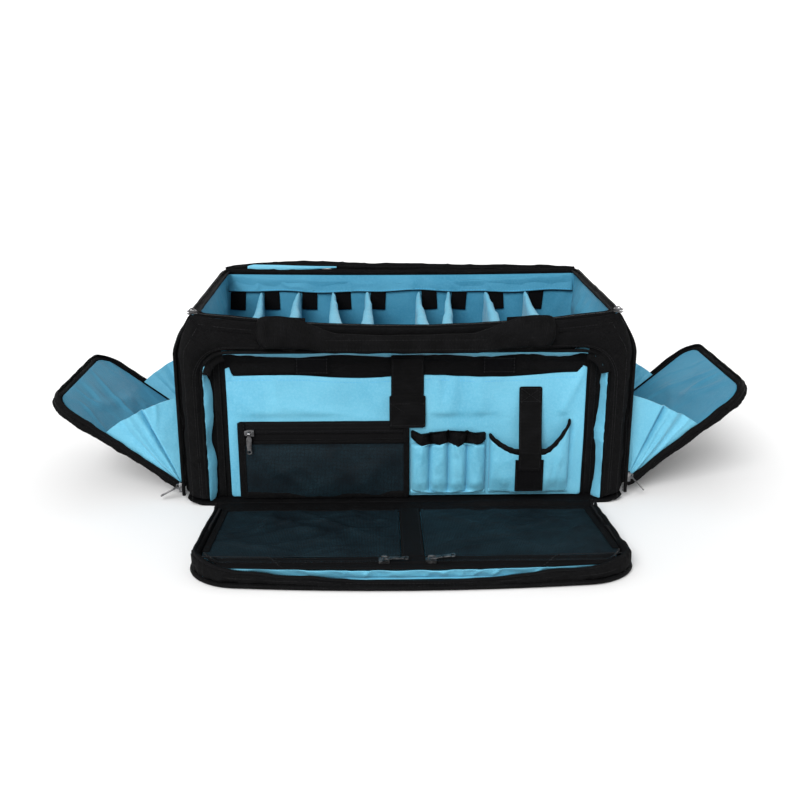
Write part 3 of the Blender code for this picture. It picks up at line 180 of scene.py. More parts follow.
def lumps(points, size, seed):
    """Smooth noise from -1 to 1 with lumps about this size."""
    random = np.random.RandomState(seed)
    table = random.uniform(-1, 1, (24, 24, 24))
    place = points / np.asarray(size, float) + random.uniform(0, 24, 3)
    cell = np.floor(place).astype(int)
    part = place - cell
    part = part * part * part * (part * (part * 6 - 15) + 10)
    total = np.zeros(len(points))
    for corner in range(8):
        step = np.array([corner & 1, corner >> 1 & 1, corner >> 2 & 1])
        weight = np.where(step, part, 1 - part).prod(axis=1)
        at = (cell + step) % 24
        total += weight * table[at[:, 0], at[:, 1], at[:, 2]]
    return total


def creases(points, size, seed, lean=0.0):
    """Narrow ridges with soft valleys, as pulled cloth has. lean turns them in the XZ plane."""
    c, s = math.cos(lean), math.sin(lean)
    turned = points.copy()
    turned[:, 0] = points[:, 0] * c + points[:, 2] * s
    turned[:, 2] = -points[:, 0] * s + points[:, 2] * c
    warp = lumps(points, 0.06, seed + 50)[:, None] * np.array([0.010, 0.0, 0.010])
    ridge = 1 - np.abs(lumps(turned + warp, size, seed))
    return ridge**3 * 1.6 - 0.5


def fold_line(points, start, end, width):
    """One crease from start to end: 1 along it, fading over its width and at its ends."""
    a, b = np.array(start, float), np.array(end, float)
    run = b - a
    t = np.clip(((points - a) @ run) / (run @ run), 0, 1)
    away = np.linalg.norm(points - (a + t[:, None] * run), axis=1)
    return np.exp(-((away / width) ** 2)) * np.sin(np.pi * np.clip(t * 0.9 + 0.05, 0, 1)) ** 0.6


def fade(values, low, high):
    t = np.clip((values - low) / (high - low), 0, 1)
    return t * t * (3 - 2 * t)


def merge_close(obj, distance=0.00002, fill=False, face_out=False):
    """Merges doubled points; fills the holes and turns the faces outward where asked."""
    hold(obj)
    bpy.ops.object.mode_set(mode="EDIT")
    bpy.ops.mesh.select_all(action="SELECT")
    bpy.ops.mesh.remove_doubles(threshold=distance)
    if fill:
        bpy.ops.mesh.fill_holes(sides=0)
    if face_out:
        bpy.ops.mesh.normals_make_consistent(inside=False)
    bpy.ops.object.mode_set(mode="OBJECT")
    return obj


def new_grid(name, across, up):
    """A flat grid and its points, which run from -1 to 1 on both sides."""
    let_go()
    bpy.ops.mesh.primitive_grid_add(x_subdivisions=across, y_subdivisions=up, size=2)
    obj = bpy.context.object
    obj.name = obj.data.name = name
    return obj, points_of(obj)


def copy_of(node, name):
    """A new piece that starts from a solid's own form, its doubles merged."""
    obj = bpy.data.objects.new(name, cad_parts[node].data.copy())
    bpy.context.scene.collection.objects.link(obj)
    merge_close(obj)
    for layer in list(obj.data.uv_layers):
        obj.data.uv_layers.remove(layer)
    return obj


def grid_cloth(node, name, step, axes="xz", finer=1):
    """A thin solid cut into a fine grid along the given axes, so that it can be creased."""
    obj = copy_of(node, name)
    work = bmesh.new()
    work.from_mesh(obj.data)
    bmesh.ops.dissolve_limit(work, angle_limit=0.01, verts=work.verts[:], edges=work.edges[:])
    points = points_of(obj)
    for axis in axes:
        number = "xyz".index(axis)
        low, high = points[:, number].min(), points[:, number].max()
        cuts = max(1, round((high - low) / step))
        for cut in range(1, cuts):
            place, normal = [0, 0, 0], [0, 0, 0]
            place[number] = low + (high - low) * cut / cuts
            normal[number] = 1
            bmesh.ops.bisect_plane(
                work, geom=work.verts[:] + work.edges[:] + work.faces[:], plane_co=place,
                plane_no=normal, dist=0.00005
            )
    work.to_mesh(obj.data)
    work.free()
    if finer:
        use(obj, "SUBSURF", levels=finer, render_levels=finer)
    return obj


def swell(obj, pressure=4.0, cap=0.006, frames=20):
    """Puffs a padded piece out as its filling does, no point further than cap."""
    before = points_of(obj)
    hold(obj)
    puff = obj.modifiers.new("Puff", "CLOTH")
    puff.settings.use_pressure = True
    puff.settings.uniform_pressure_force = pressure
    puff.settings.effector_weights.gravity = 0
    puff.settings.quality = 4
    for number in range(1, frames + 1):
        bpy.context.scene.frame_set(number)
    shown = obj.evaluated_get(bpy.context.evaluated_depsgraph_get())
    flat = np.empty(len(before) * 3)
    shown.data.vertices.foreach_get("co", flat)
    moved = flat.reshape(-1, 3) - before
    obj.modifiers.remove(puff)
    bpy.context.scene.frame_set(1)
    length = np.linalg.norm(moved, axis=1, keepdims=True)
    put_points(obj, before + moved * np.minimum(1, cap / np.maximum(length, 1e-9)))
    return obj


def pad(node, name, voxel=0.005, inset=0.001, pressure=4.0, cap=0.005, smooth=4):
    """A padded piece: its solid remeshed, drawn in a little, then puffed out."""
    obj = copy_of(node, name)
    use(obj, "REMESH", mode="VOXEL", voxel_size=voxel, adaptivity=0)
    use(obj, "SMOOTH", factor=0.5, iterations=smooth)
    put_points(obj, points_of(obj) - normals_of(obj) * inset)
    swell(obj, pressure, cap)
    return obj


def distances(path):
    """How far along the path each of its points lies."""
    steps = np.linalg.norm(np.diff(np.array(path, float), axis=0), axis=1)
    return np.concatenate([[0], np.cumsum(steps)])


def ease(points, count):
    """A smooth run of this many points through the given ones."""
    given = np.array(points, float)
    at = distances(given)
    where = np.linspace(0, at[-1], count)
    return np.stack([np.interp(where, at, given[:, k]) for k in range(3)], 1)


def path_frames(path, normal=None, standing=None):
    """Along, across and up at each point of a path.

    up lies near the given normal, or the width near standing.
    """
    path = np.array(path, float)
    along = np.gradient(path, axis=0)
    along /= np.maximum(np.linalg.norm(along, axis=1, keepdims=True), 1e-9)
    if standing is not None:
        normal = np.cross(along, np.array(standing, float))
    up = np.broadcast_to(np.array(normal, float), path.shape).copy()
    up -= (up * along).sum(axis=1, keepdims=True) * along
    up /= np.maximum(np.linalg.norm(up, axis=1, keepdims=True), 1e-9)
    return path, along, np.cross(up, along), up


def run_length(path):
    return np.linalg.norm(np.diff(np.array(path, float), axis=0), axis=1).sum()


def ribbon(
    name, path, normal, width, thickness, columns=4, rows=None, crown=0.0, edge=0.35, standing=None
):
    """A strip of tape or webbing along a path, face up along the normal, raised by crown."""
    rows = rows or max(8, int(run_length(path) / 0.004))
    centre, _, across, up = path_frames(ease(path, rows + 1), normal, standing)
    obj, flat = new_grid(name, rows, columns)
    row = np.rint((flat[:, 0] + 1) / 2 * rows).astype(int)
    side = flat[:, 1]
    wide = np.interp(
        row, np.linspace(0, rows, len(np.atleast_1d(width))), np.atleast_1d(width)
    ) / 2
    raised = np.interp(row, np.linspace(0, rows, len(np.atleast_1d(crown))), np.atleast_1d(crown))
    put_points(
        obj,
        centre[row] + across[row] * (side * wide)[:, None]
        + up[row] * (raised * (1 - side**2))[:, None]
    )
    length = distances(centre)
    layer = obj.data.uv_layers.new(name="grain")
    for spot in obj.data.loops:
        k = spot.vertex_index
        layer.data[spot.index].uv = (length[row[k]], side[k] * wide[k])
    use(obj, "SOLIDIFY", thickness=thickness, offset=0)
    use(
        obj, "BEVEL", width=thickness * edge, segments=2, limit_method="ANGLE",
        angle_limit=math.radians(50)
    )
    return obj


def tube(
    name, path, high, thick, standing=UPWARD, crown=0.0, spacing=0.003, sides=16, square=0.75,
    ribs=0.0
):
    """A closed soft bar along a path, with its height, thickness and crown along it."""
    length = run_length(path)
    rows = max(8, int(length / spacing))
    centre, _, across, up = path_frames(ease(path, rows + 1), None, standing)
    obj, flat = new_grid(name, rows, sides)
    row = np.rint((flat[:, 0] + 1) / 2 * rows).astype(int)
    turn = np.rint((flat[:, 1] + 1) / 2 * sides) * 2 * np.pi / sides

    def at(values):
        values = np.atleast_1d(np.array(values, float))
        return np.interp(row, np.linspace(0, rows, len(values)), values)

    c, s = np.cos(turn), np.sin(turn)
    c, s = np.sign(c) * np.abs(c) ** square, np.sign(s) * np.abs(s) ** square
    bump = ribs * np.abs(np.sin(np.pi * row / rows * length / 0.0024))
    tall, deep = at(high) / 2 + bump * 0.3, at(thick) / 2 + bump
    place = (
        centre[row] + across[row] * (c * tall)[:, None]
        + up[row] * (s * deep + at(crown) * (1 - np.abs(c) ** 2))[:, None]
    )
    put_points(obj, place)
    layer = obj.data.uv_layers.new(name="grain")
    for spot in obj.data.loops:
        k = spot.vertex_index
        layer.data[spot.index].uv = (row[k] / rows * length, turn[k] / np.pi * tall[k])
    return merge_close(obj, fill=True, face_out=True)


def cord_along(name, path, radius, spacing=0.005):
    """A round piping or thread along a path."""
    centre = ease(path, max(6, int(run_length(path) / spacing)))
    let_go()
    bpy.ops.curve.primitive_nurbs_path_add()
    obj = bpy.context.object
    obj.name = obj.data.name = name
    obj.data.splines.clear()
    run = obj.data.splines.new("POLY")
    run.points.add(len(centre) - 1)
    for spot, place in zip(run.points, centre):
        spot.co = (*place, 1)
    obj.data.dimensions = "3D"
    obj.data.bevel_depth = radius
    obj.data.bevel_resolution = 2
    obj.data.use_fill_caps = True
    hold(obj)
    bpy.ops.object.convert(target="MESH")
    return settle(bpy.context.object)


def repeat_along(name, one, path, normal, pitch, standing=None):
    """Copies of one small piece along a path, joined into a row. The small piece is used up."""
    count = max(2, int(run_length(path) / pitch))
    centre, along, across, up = path_frames(ease(path, count + 1), normal, standing)
    small, sides = points_of(one), [list(face.vertices) for face in one.data.polygons]
    turn = np.stack([along, across, up], 2)
    spots = np.einsum("nij,kj->nki", turn, small) + centre[:, None, :]
    faces = [
        [k + number * len(small) for k in side] for number in range(count + 1) for side in sides
    ]
    mesh = bpy.data.meshes.new(name)
    mesh.from_pydata(spots.reshape(-1, 3).tolist(), [], faces)
    row = bpy.data.objects.new(name, mesh)
    bpy.context.scene.collection.objects.link(row)
    bpy.data.objects.remove(one)
    return row


def stitch(length=0.0026, width=0.0007, height=0.0004):
    """One stitch: a short thread whose ends dive into the cloth."""
    let_go()
    bpy.ops.mesh.primitive_cylinder_add(
        vertices=6, radius=0.5, depth=1, rotation=(0, math.pi / 2, 0)
    )
    obj = bpy.context.object
    obj.scale = (height * 2, width, length)
    settle(obj)
    points = points_of(obj)
    points[:, 2] -= fade(np.abs(points[:, 0]), length * 0.2, length * 0.55) * height * 0.9
    put_points(obj, points)
    return obj


def tooth(length, width, height):
    """One turn of a zip's coil: a small rounded bar."""
    let_go()
    bpy.ops.mesh.primitive_cube_add(size=1)
    obj = bpy.context.object
    obj.scale = (length, width, height)
    settle(obj)
    use(obj, "BEVEL", width=min(length, height) * 0.3, segments=1)
    return obj


def join(name, pieces):
    let_go()
    for piece in pieces:
        piece.select_set(True)
    bpy.context.view_layer.objects.active = pieces[0]
    bpy.ops.object.join()
    pieces[0].name = pieces[0].data.name = name
    return pieces[0]


def sew(name, body, path, normal, look=None, pitch=0.0036, standing=None):
    """A row of stitches along a path, black unless the blue thread is given."""
    row = repeat_along(name, stitch(), path, normal, pitch, standing=standing)
    return finish_piece(row, body, look or THREAD)


def sew_onto(name, body, piece, path, toward, lift=0.0001, look=None):
    """A row of stitches on a piece's surface, seen along a direction."""
    return sew(name, body, onto(piece, path, toward, lift), tuple(-way for way in toward), look)


def zip_run(name, body, path, normal, width=0.0034, pitch=0.0016):
    """A row of coil turns along a zip."""
    row = repeat_along(name, tooth(0.0010, width, 0.0013), path, normal, pitch)
    return finish_piece(row, body, COIL)


def pipe(name, body, path, radius, look=None):
    """Round piping along a seam."""
    return finish_piece(cord_along(name, path, radius), body, look or RIBBING)


def tape(name, body, path, normal, width, thickness, look, **more):
    """Flat binding or zip tape along a path."""
    strip = ribbon(name, path, normal, width, thickness, **more)
    return finish_piece(strip, body, look)


def arch(half, foot, top, radius, y):
    """Up one side of the organiser's opening, over and down the other."""
    turn = [
        (half - radius + radius * math.cos(a), top - radius + radius * math.sin(a))
        for a in np.radians(range(0, 91, 9))
    ]
    left = [(-half, foot)] + [(-x, z) for x, z in turn]
    right = [(x, z) for x, z in reversed(turn)] + [(half, foot)]
    return [(x, y, z) for x, z in left + right]


def rim_sag(points):
    """The soft front rim hangs a little below its board in the middle."""
    points = np.asarray(points, float)
    middle = -FRONT_SAG * np.clip(1 - (points[:, 0] / 0.234) ** 2, 0, 1)
    return middle * fade(-points[:, 1], 0.090, 0.112) * fade(points[:, 2], 0.188, 0.208)


def rim_height(x):
    """The rim sags a little between the shoulders."""
    return RIM_TOP - RIM_DIP * np.maximum(0.0, 1 - (np.asarray(x, float) / RIM_HALF) ** 2)


# ---------------------------------------------------------------- finishes


class Finish:
    """One procedural material, built node by node."""

    def __init__(self, name, roughness, metallic=0.0, specular=0.5, sheen=0.0):
        self.material = bpy.data.materials.new(name)
        self.material.use_nodes = True
        self.nodes, self.links = self.material.node_tree.nodes, self.material.node_tree.links
        self.shader = next(node for node in self.nodes if node.type == "BSDF_PRINCIPLED")
        self.shader.inputs["Roughness"].default_value = roughness
        self.shader.inputs["Metallic"].default_value = metallic
        self.shader.inputs["Specular IOR Level"].default_value = specular
        self.shader.inputs["Sheen Weight"].default_value = sheen
        self.shader.inputs["Sheen Roughness"].default_value = 0.4

    def add(self, kind, *wires, **settings):
        node = self.nodes.new(kind)
        for key, value in settings.items():
            setattr(node, key, value)
        for number, wire in enumerate(wires):
            self.plug(wire, node.inputs[number])
        return node

    def plug(self, wire, socket):
        if wire is None:
            return
        if hasattr(wire, "is_output"):
            self.links.new(wire, socket)
        else:
            socket.default_value = wire

    def math(self, kind, a, b=None):
        return self.add("ShaderNodeMath", a, b, operation=kind).outputs[0]

    def noise(self, place, scale, detail=3.0, roughness=0.6):
        node = self.add("ShaderNodeTexNoise")
        self.links.new(place, node.inputs["Vector"])
        node.inputs["Scale"].default_value = scale
        node.inputs["Detail"].default_value = detail
        node.inputs["Roughness"].default_value = roughness
        return node.outputs[0]

    def ramp(self, factor, *stops):
        node = self.add("ShaderNodeValToRGB", factor)
        points = node.color_ramp.elements
        while len(points) < len(stops):
            points.new(0.5)
        for point, (place, colour) in zip(points, stops):
            point.position = place
            point.color = (
                (*colour, 1) if len(np.atleast_1d(colour)) == 3 else (colour, colour, colour, 1)
            )
        return node.outputs[0]

    def mix(self, factor, a, b, kind="MIX"):
        node = self.add("ShaderNodeMix", data_type="RGBA", blend_type=kind)
        self.plug(factor, node.inputs[0])
        self.plug(a if hasattr(a, "is_output") else (*a, 1), node.inputs[6])
        self.plug(b if hasattr(b, "is_output") else (*b, 1), node.inputs[7])
        return node.outputs[2]

    def bump(self, height, strength, distance, below=None):
        node = self.add("ShaderNodeBump")
        node.inputs["Strength"].default_value = strength
        node.inputs["Distance"].default_value = distance
        self.links.new(height, node.inputs["Height"])
        if below is not None:
            self.links.new(below, node.inputs["Normal"])
        return node.outputs[0]

    def grain(self):
        return self.add("ShaderNodeUVMap", uv_map="grain").outputs[0]

    def place(self):
        return self.add("ShaderNodeTexCoord").outputs["Object"]

    def weave(self, pitch, cross=None):
        """Plain weave: threads that pass over and under each other, one pitch apart."""
        apart = self.add("ShaderNodeSeparateXYZ", self.grain())
        warp = self.math("SINE", self.math("MULTIPLY", apart.outputs[0], math.pi / pitch))
        weft = self.math(
            "SINE", self.math("MULTIPLY", apart.outputs[1], math.pi / (cross or pitch))
        )
        over = self.math("MULTIPLY", self.math("MULTIPLY", warp, weft), 0.4)
        first = self.math("MULTIPLY", self.math("ABSOLUTE", warp), self.math("ADD", over, 0.6))
        second = self.math(
            "MULTIPLY", self.math("ABSOLUTE", weft), self.math("SUBTRACT", 0.6, over)
        )
        return self.math("MAXIMUM", first, second)

    def colour(self, wire):
        self.links.new(wire, self.shader.inputs["Base Color"])

    def surface(self, wire):
        self.links.new(wire, self.shader.inputs["Normal"])

    def rough(self, wire):
        self.links.new(wire, self.shader.inputs["Roughness"])


def black_canvas():
    """Coarse black polyester with a heathered thread and a few paler rubs."""
    f = Finish("black_canvas", 0.85, specular=0.045)
    weave, place = f.weave(0.0011), f.place()
    fleck = f.noise(place, 900, 2)
    rubs = f.noise(place, 38, 4)
    thread = f.mix(
        f.ramp(fleck, (0.35, 0.0), (0.75, 1.0)), (0.0022, 0.0022, 0.0024), (0.0098, 0.0098, 0.0104)
    )
    worn = f.mix(f.ramp(rubs, (0.5, 0.0), (0.8, 0.35)), thread, (0.0125, 0.0125, 0.013))
    f.colour(f.mix(f.ramp(weave, (0.1, 0.0), (0.6, 1.0)), (0.0009, 0.0009, 0.001), worn))
    f.rough(f.ramp(rubs, (0.3, 0.72), (0.8, 0.9)))
    pucker = f.bump(f.noise(place, 70, 3), 0.35, 0.002)
    f.surface(f.bump(weave, 0.7, 0.0004, pucker))
    return f.material


def black_ribbing():
    """Webbing and binding: ribs across the strap and a selvage."""
    f = Finish("black_ribbing", 0.75, specular=0.06)
    apart = f.add("ShaderNodeSeparateXYZ", f.grain())
    rib = f.math(
        "ABSOLUTE", f.math("SINE", f.math("MULTIPLY", apart.outputs[0], math.pi / 0.0016))
    )
    line = f.math(
        "ABSOLUTE", f.math("SINE", f.math("MULTIPLY", apart.outputs[1], math.pi / 0.0009))
    )
    cloth = f.math("ADD", f.math("MULTIPLY", rib, 0.7), f.math("MULTIPLY", line, 0.3))
    place = f.place()
    rubs = f.noise(place, 60, 3)
    thread = f.mix(
        f.ramp(rubs, (0.4, 0.0), (0.8, 1.0)), (0.0024, 0.0024, 0.0026), (0.0068, 0.0068, 0.0074)
    )
    f.colour(f.mix(f.ramp(cloth, (0.1, 0.0), (0.6, 1.0)), (0.0009, 0.0009, 0.001), thread))
    f.rough(f.ramp(rubs, (0.3, 0.62), (0.8, 0.8)))
    f.surface(f.bump(cloth, 0.8, 0.0004, f.bump(f.noise(place, 90, 2), 0.2, 0.001)))
    return f.material


def blue_lining(name, deep, bright, glint, gap, gloss):
    """Sky blue nylon: a fine, slightly shiny weave with small puckers."""
    f = Finish(name, 0.45, specular=gloss, sheen=gloss * 0.3)
    weave, place = f.weave(0.0007), f.place()
    drift = f.noise(place, 14, 3)
    fine = f.noise(place, 420, 2)
    base = f.mix(f.ramp(drift, (0.3, 0.0), (0.7, 1.0)), deep, bright)
    base = f.mix(f.ramp(fine, (0.4, 0.0), (0.8, 0.5)), base, glint)
    f.colour(f.mix(f.ramp(weave, (0.05, 0.0), (0.45, 1.0)), gap, base))
    f.rough(f.ramp(drift, (0.3, 0.42), (0.7, 0.58)))
    pucker = f.bump(f.noise(place, 46, 3, 0.55), 0.35, 0.0035)
    f.surface(f.bump(weave, 0.5, 0.00022, pucker))
    return f.material


def knitted_mesh():
    """Black knitted mesh over blue lining: its open cells are painted dark teal, the blue lining
    behind it in painted shade.
    """
    f = Finish("knitted_mesh", 0.6, specular=0.07)
    cells = f.add("ShaderNodeTexVoronoi", f.grain())
    cells.inputs["Scale"].default_value = 620
    cells.inputs["Randomness"].default_value = 0.25
    hole = f.ramp(cells.outputs["Distance"], (0.28, 1.0), (0.48, 0.0))
    place = f.place()
    drift = f.noise(place, 22, 3)
    # the open cells show painted shade: the blue lining behind the mesh, darkened as the mesh
    # would shade it
    behind = f.mix(
        f.ramp(drift, (0.3, 0.0), (0.75, 1.0)), (0.0030, 0.009, 0.014), (0.012, 0.036, 0.050)
    )
    f.colour(f.mix(hole, (0.005, 0.006, 0.007), behind))
    f.surface(
        f.bump(cells.outputs["Distance"], 0.6, 0.0005, f.bump(f.noise(place, 60, 3), 0.3, 0.002))
    )
    return f.material


def hook_pile():
    """Hook and loop tape: a short dense pile."""
    f = Finish("hook_pile", 0.95, specular=0.04)
    place = f.place()
    pile = f.noise(place, 1500, 3, 0.7)
    f.colour(f.ramp(pile, (0.3, (0.001, 0.001, 0.0012)), (0.75, (0.008, 0.008, 0.009))))
    f.surface(f.bump(pile, 0.9, 0.0008, f.bump(f.noise(place, 120, 2), 0.3, 0.001)))
    return f.material


def zip_tape():
    """Woven zip tape: fine lengthwise lines."""
    f = Finish("zip_tape", 0.7, specular=0.05)
    weave, place = f.weave(0.0006, 0.0012), f.place()
    f.colour(
        f.mix(
            f.ramp(weave, (0.1, 0.0), (0.6, 1.0)), (0.0012, 0.0012, 0.0013),
            (0.0055, 0.0055, 0.006)
        )
    )
    f.surface(f.bump(weave, 0.6, 0.0003, f.bump(f.noise(place, 110, 2), 0.2, 0.001)))
    return f.material


def coil_plastic():
    """The coil's smooth black nylon."""
    f = Finish("coil_plastic", 0.42, specular=0.13)
    place = f.place()
    f.colour(
        f.ramp(f.noise(place, 300, 2), (0.3, (0.003, 0.003, 0.0034)), (0.8, (0.009, 0.009, 0.010)))
    )
    f.surface(f.bump(f.noise(place, 700, 2), 0.15, 0.0002))
    return f.material


def sewing_thread(name, roughness, specular, dark, pale):
    """Sewing thread, a twist of polyester."""
    f = Finish(name, roughness, specular=specular)
    place = f.place()
    f.colour(f.ramp(f.noise(place, 800, 2), (0.3, dark), (0.8, pale)))
    f.surface(f.bump(f.noise(place, 2200, 1), 0.3, 0.0002))
    return f.material


def gunmetal():
    """Cast zip metal, dark nickel, with wear on it."""
    f = Finish("gunmetal", 0.32, metallic=1.0)
    place = f.place()
    wear = f.noise(place, 260, 4)
    f.colour(f.ramp(wear, (0.3, (0.07, 0.07, 0.072)), (0.7, (0.24, 0.24, 0.245))))
    f.rough(f.ramp(wear, (0.3, 0.24), (0.75, 0.45)))
    f.surface(f.bump(f.noise(place, 900, 3), 0.12, 0.0003))
    return f.material


def near_white(f):
    """The studio's paper white, very slightly uneven."""
    f.colour(f.ramp(f.noise(f.place(), 1.2, 1), (0.3, (0.86,) * 3), (0.7, (0.88,) * 3)))
    return f.material


def studio_floor():
    """White floor that glows more the further it lies from the bag."""
    f = Finish("studio_floor", 0.9, specular=0.05)
    away = f.add("ShaderNodeVectorMath", f.place(), operation="LENGTH").outputs["Value"]
    f.links.new(
        f.ramp(away, (0.40, (0.0, 0.0, 0.0)), (0.90, (1.0, 1.0, 1.0))),
        f.shader.inputs["Emission Color"]
    )
    f.shader.inputs["Emission Strength"].default_value = FLOOR_GLOW
    return near_white(f)


def studio_wall():
    """The low ring round the floor, which keeps the background white from all sides."""
    f = Finish("studio_wall", 0.9, specular=0.0)
    f.shader.inputs["Emission Color"].default_value = (1, 1, 1, 1)
    f.shader.inputs["Emission Strength"].default_value = WALL_GLOW
    return near_white(f)


CANVAS, RIBBING = black_canvas(), black_ribbing()
LINING = blue_lining(
    "blue_lining", (0.102, 0.394, 0.560), (0.146, 0.465, 0.622), (0.21, 0.53, 0.68),
    (0.05, 0.265, 0.43), 0.4
)
# A darker, less glossy copy of the same blue lining: painted shade for the inside of the main
# compartment, the back wall's facing and the end flaps' upturned linings
SHADED_LINING = blue_lining(
    "shaded_lining", (0.038, 0.205, 0.325), (0.068, 0.275, 0.410), (0.09, 0.31, 0.45),
    (0.02, 0.14, 0.24), 0.10
)
MESH, PILE, TAPE, COIL = knitted_mesh(), hook_pile(), zip_tape(), coil_plastic()
THREAD = sewing_thread("thread_black", 0.6, 0.15, (0.004, 0.004, 0.0045), (0.014, 0.014, 0.015))
BLUE_THREAD = sewing_thread("thread_blue", 0.55, 0.45, (0.035, 0.29, 0.55), (0.11, 0.50, 0.80))
METAL = gunmetal()


# ---------------------------------------------------------------- camera, light and floor


def set_camera():
    aim = Vector(CAMERA_AIM)
    turn, rise, distance = math.radians(CAMERA_TURN), math.radians(CAMERA_RISE), CAMERA_DISTANCE
    place = aim + distance * Vector(
        (math.sin(turn) * math.cos(rise), -math.cos(turn) * math.cos(rise), math.sin(rise))
    )
    let_go()
    bpy.ops.object.camera_add(location=place)
    camera = bpy.context.object
    camera.rotation_euler = (aim - place).to_track_quat("-Z", "Y").to_euler()
    camera.data.lens, camera.data.sensor_width = CAMERA_LENS
    bpy.context.scene.camera = camera


def lamp(place, aim, size, power):
    let_go()
    bpy.ops.object.light_add(type="AREA", location=place)
    light = bpy.context.object
    light.rotation_euler = (Vector(aim) - Vector(place)).to_track_quat("-Z", "Y").to_euler()
    light.data.shape = "RECTANGLE"
    light.data.size, light.data.size_y = size
    light.data.energy = power


def set_studio():
    let_go()
    bpy.ops.mesh.primitive_plane_add(size=16, location=(0, 0, 0))
    floor = bpy.context.object
    floor.name = floor.data.name = "floor"
    bpy.ops.object.mode_set(mode="EDIT")
    bpy.ops.mesh.subdivide(number_cuts=3)
    bpy.ops.object.mode_set(mode="OBJECT")
    floor.data.materials.append(studio_floor())
    let_go()
    bpy.ops.mesh.primitive_cylinder_add(
        vertices=64, radius=7.8, depth=1.8, end_fill_type="NOTHING", location=(0, 0, 0.8)
    )
    wall = bpy.context.object
    wall.name = wall.data.name = "backdrop"
    wall.data.materials.append(studio_wall())
    let_go()
    bpy.ops.object.light_add(
        type="SUN", location=(-1.0, -2.0, 2.0), rotation=(math.radians(52), 0, math.radians(-24))
    )
    key = bpy.context.object
    key.data.energy = SUN_POWER
    key.data.angle = math.radians(SUN_SPREAD)
    lamp((-0.9, -0.7, 1.5), (0, 0, 0.1), (0.9, 0.7), 3)
    lamp((0.1, 0.9, 1.7), (0, 0, 0.1), (1.8, 0.9), 3)
    world = bpy.data.worlds.new("studio")
    world.use_nodes = True
    world.node_tree.nodes["Background"].inputs[0].default_value = (1.0, 1.0, 1.0, 1)
    world.node_tree.nodes["Background"].inputs[1].default_value = SKY_POWER
    bpy.context.scene.world = world
    bpy.context.scene.view_settings.view_transform = "Standard"


set_camera()
set_studio()


# ---------------------------------------------------------------- laying pieces on the cloth


def onto(obj, path, toward, lift=0.0, spacing=0.004, centre=None):
    """A path laid on a piece, seen along a direction or towards a centre, and lifted."""
    tree = BVHTree.FromObject(obj, bpy.context.evaluated_depsgraph_get())
    laid = []
    for point in ease(path, max(2, int(run_length(path) / spacing)) + 1):
        way = (Vector(toward) if centre is None else Vector(centre) - Vector(point)).normalized()
        spot = tree.ray_cast(Vector(point) - way * 0.02, way, 0.045)[0]
        laid.append((spot if spot is not None else Vector(point)) - way * lift)
    if len(laid) > 6:
        smooth = np.array([tuple(spot) for spot in laid])
        for _ in range(2):
            smooth[1:-1] = (smooth[:-2] + smooth[1:-1] * 2 + smooth[2:]) / 4
        return [tuple(spot) for spot in smooth]
    return [tuple(spot) for spot in laid]


def spread(path, values, count=120):
    """Values given at a path's points, re-spaced evenly along it."""
    at = distances(path)
    return np.interp(np.linspace(0, at[-1], count), at, values)


def cloth_grid(name, across, up, place, thickness, finer=0):
    """A sheet of cloth: place gives its points for u across and v up, each from 0 to 1."""
    obj, flat = new_grid(name, across, up)
    put_points(obj, place((flat[:, 0] + 1) / 2, (flat[:, 1] + 1) / 2))
    use(obj, "SOLIDIFY", thickness=thickness, offset=0)
    if finer:
        use(obj, "SUBSURF", levels=finer, render_levels=finer)
    return obj


def pillow(name, across, up, place, side, half, edge, size):
    """A closed pad: two faces either side of a middle sheet, rounded where they meet."""
    u = (1 - np.cos(np.linspace(0, np.pi, across + 1))) / 2
    v = (1 - np.cos(np.linspace(0, np.pi, up + 1))) / 2
    u, v = [part.ravel() for part in np.meshgrid(u, v)]
    near = np.minimum(np.minimum(u, 1 - u) * size[0], np.minimum(v, 1 - v) * size[1])
    thick = half(u, v) * np.sqrt(np.maximum(0, 1 - (1 - np.clip(near / edge, 0, 1)) ** 2))
    middle, out = place(u, v), np.array(side, float)
    spots = np.concatenate([middle + out * thick[:, None], middle - out * thick[:, None]])
    faces = []
    for j in range(up):
        for i in range(across):
            k = j * (across + 1) + i
            quad = [k, k + 1, k + across + 2, k + across + 1]
            faces += [quad, [len(u) + corner for corner in reversed(quad)]]
    mesh = bpy.data.meshes.new(name)
    mesh.from_pydata(spots.tolist(), [], faces)
    obj = bpy.data.objects.new(name, mesh)
    bpy.context.scene.collection.objects.link(obj)
    return merge_close(obj, distance=0.00001, face_out=True)


def roughen(obj, amount):
    """Moves each point along its normal by an amount worked out from its place."""
    points = points_of(obj)
    put_points(obj, points + normals_of(obj) * np.asarray(amount(points))[:, None])
    return obj


def press(obj, amount, axis=1):
    """Moves the whole thickness of a thin piece along one axis."""
    points = points_of(obj)
    points[:, axis] += amount(points)
    put_points(obj, points)
    return obj


def box_stitch(name, body, corners, cross=True):
    """The square with a cross that fixes a strap's end."""
    a, b, c, d = [Vector(corner) for corner in corners]
    runs = [(a, b), (b, c), (c, d), (d, a)] + ([(a, c), (b, d)] if cross else [])
    rows = [repeat_along(name, stitch(), [tuple(p), tuple(q)], FORWARD, 0.0034) for p, q in runs]
    return finish_piece(join(name, rows), body, THREAD)


# ---------------------------------------------------------------- the body


def end_lift(points):
    """The bottom's two ends curl up off the floor."""
    t = np.clip((np.abs(points[:, 0]) - 0.232) / 0.031, 0, 1)
    return 0.0065 * t * t * (1 - fade(points[:, 2], 0.012, 0.05))


def draw_in(points):
    """The shoulders of both ends are drawn in towards the rim."""
    points = np.asarray(points, float)
    x, z = points[:, 0], points[:, 2]
    return -np.sign(x) * SHOULDER_DRAW * fade(np.abs(x), 0.232, 0.262) * fade(z, 0.176, 0.228)


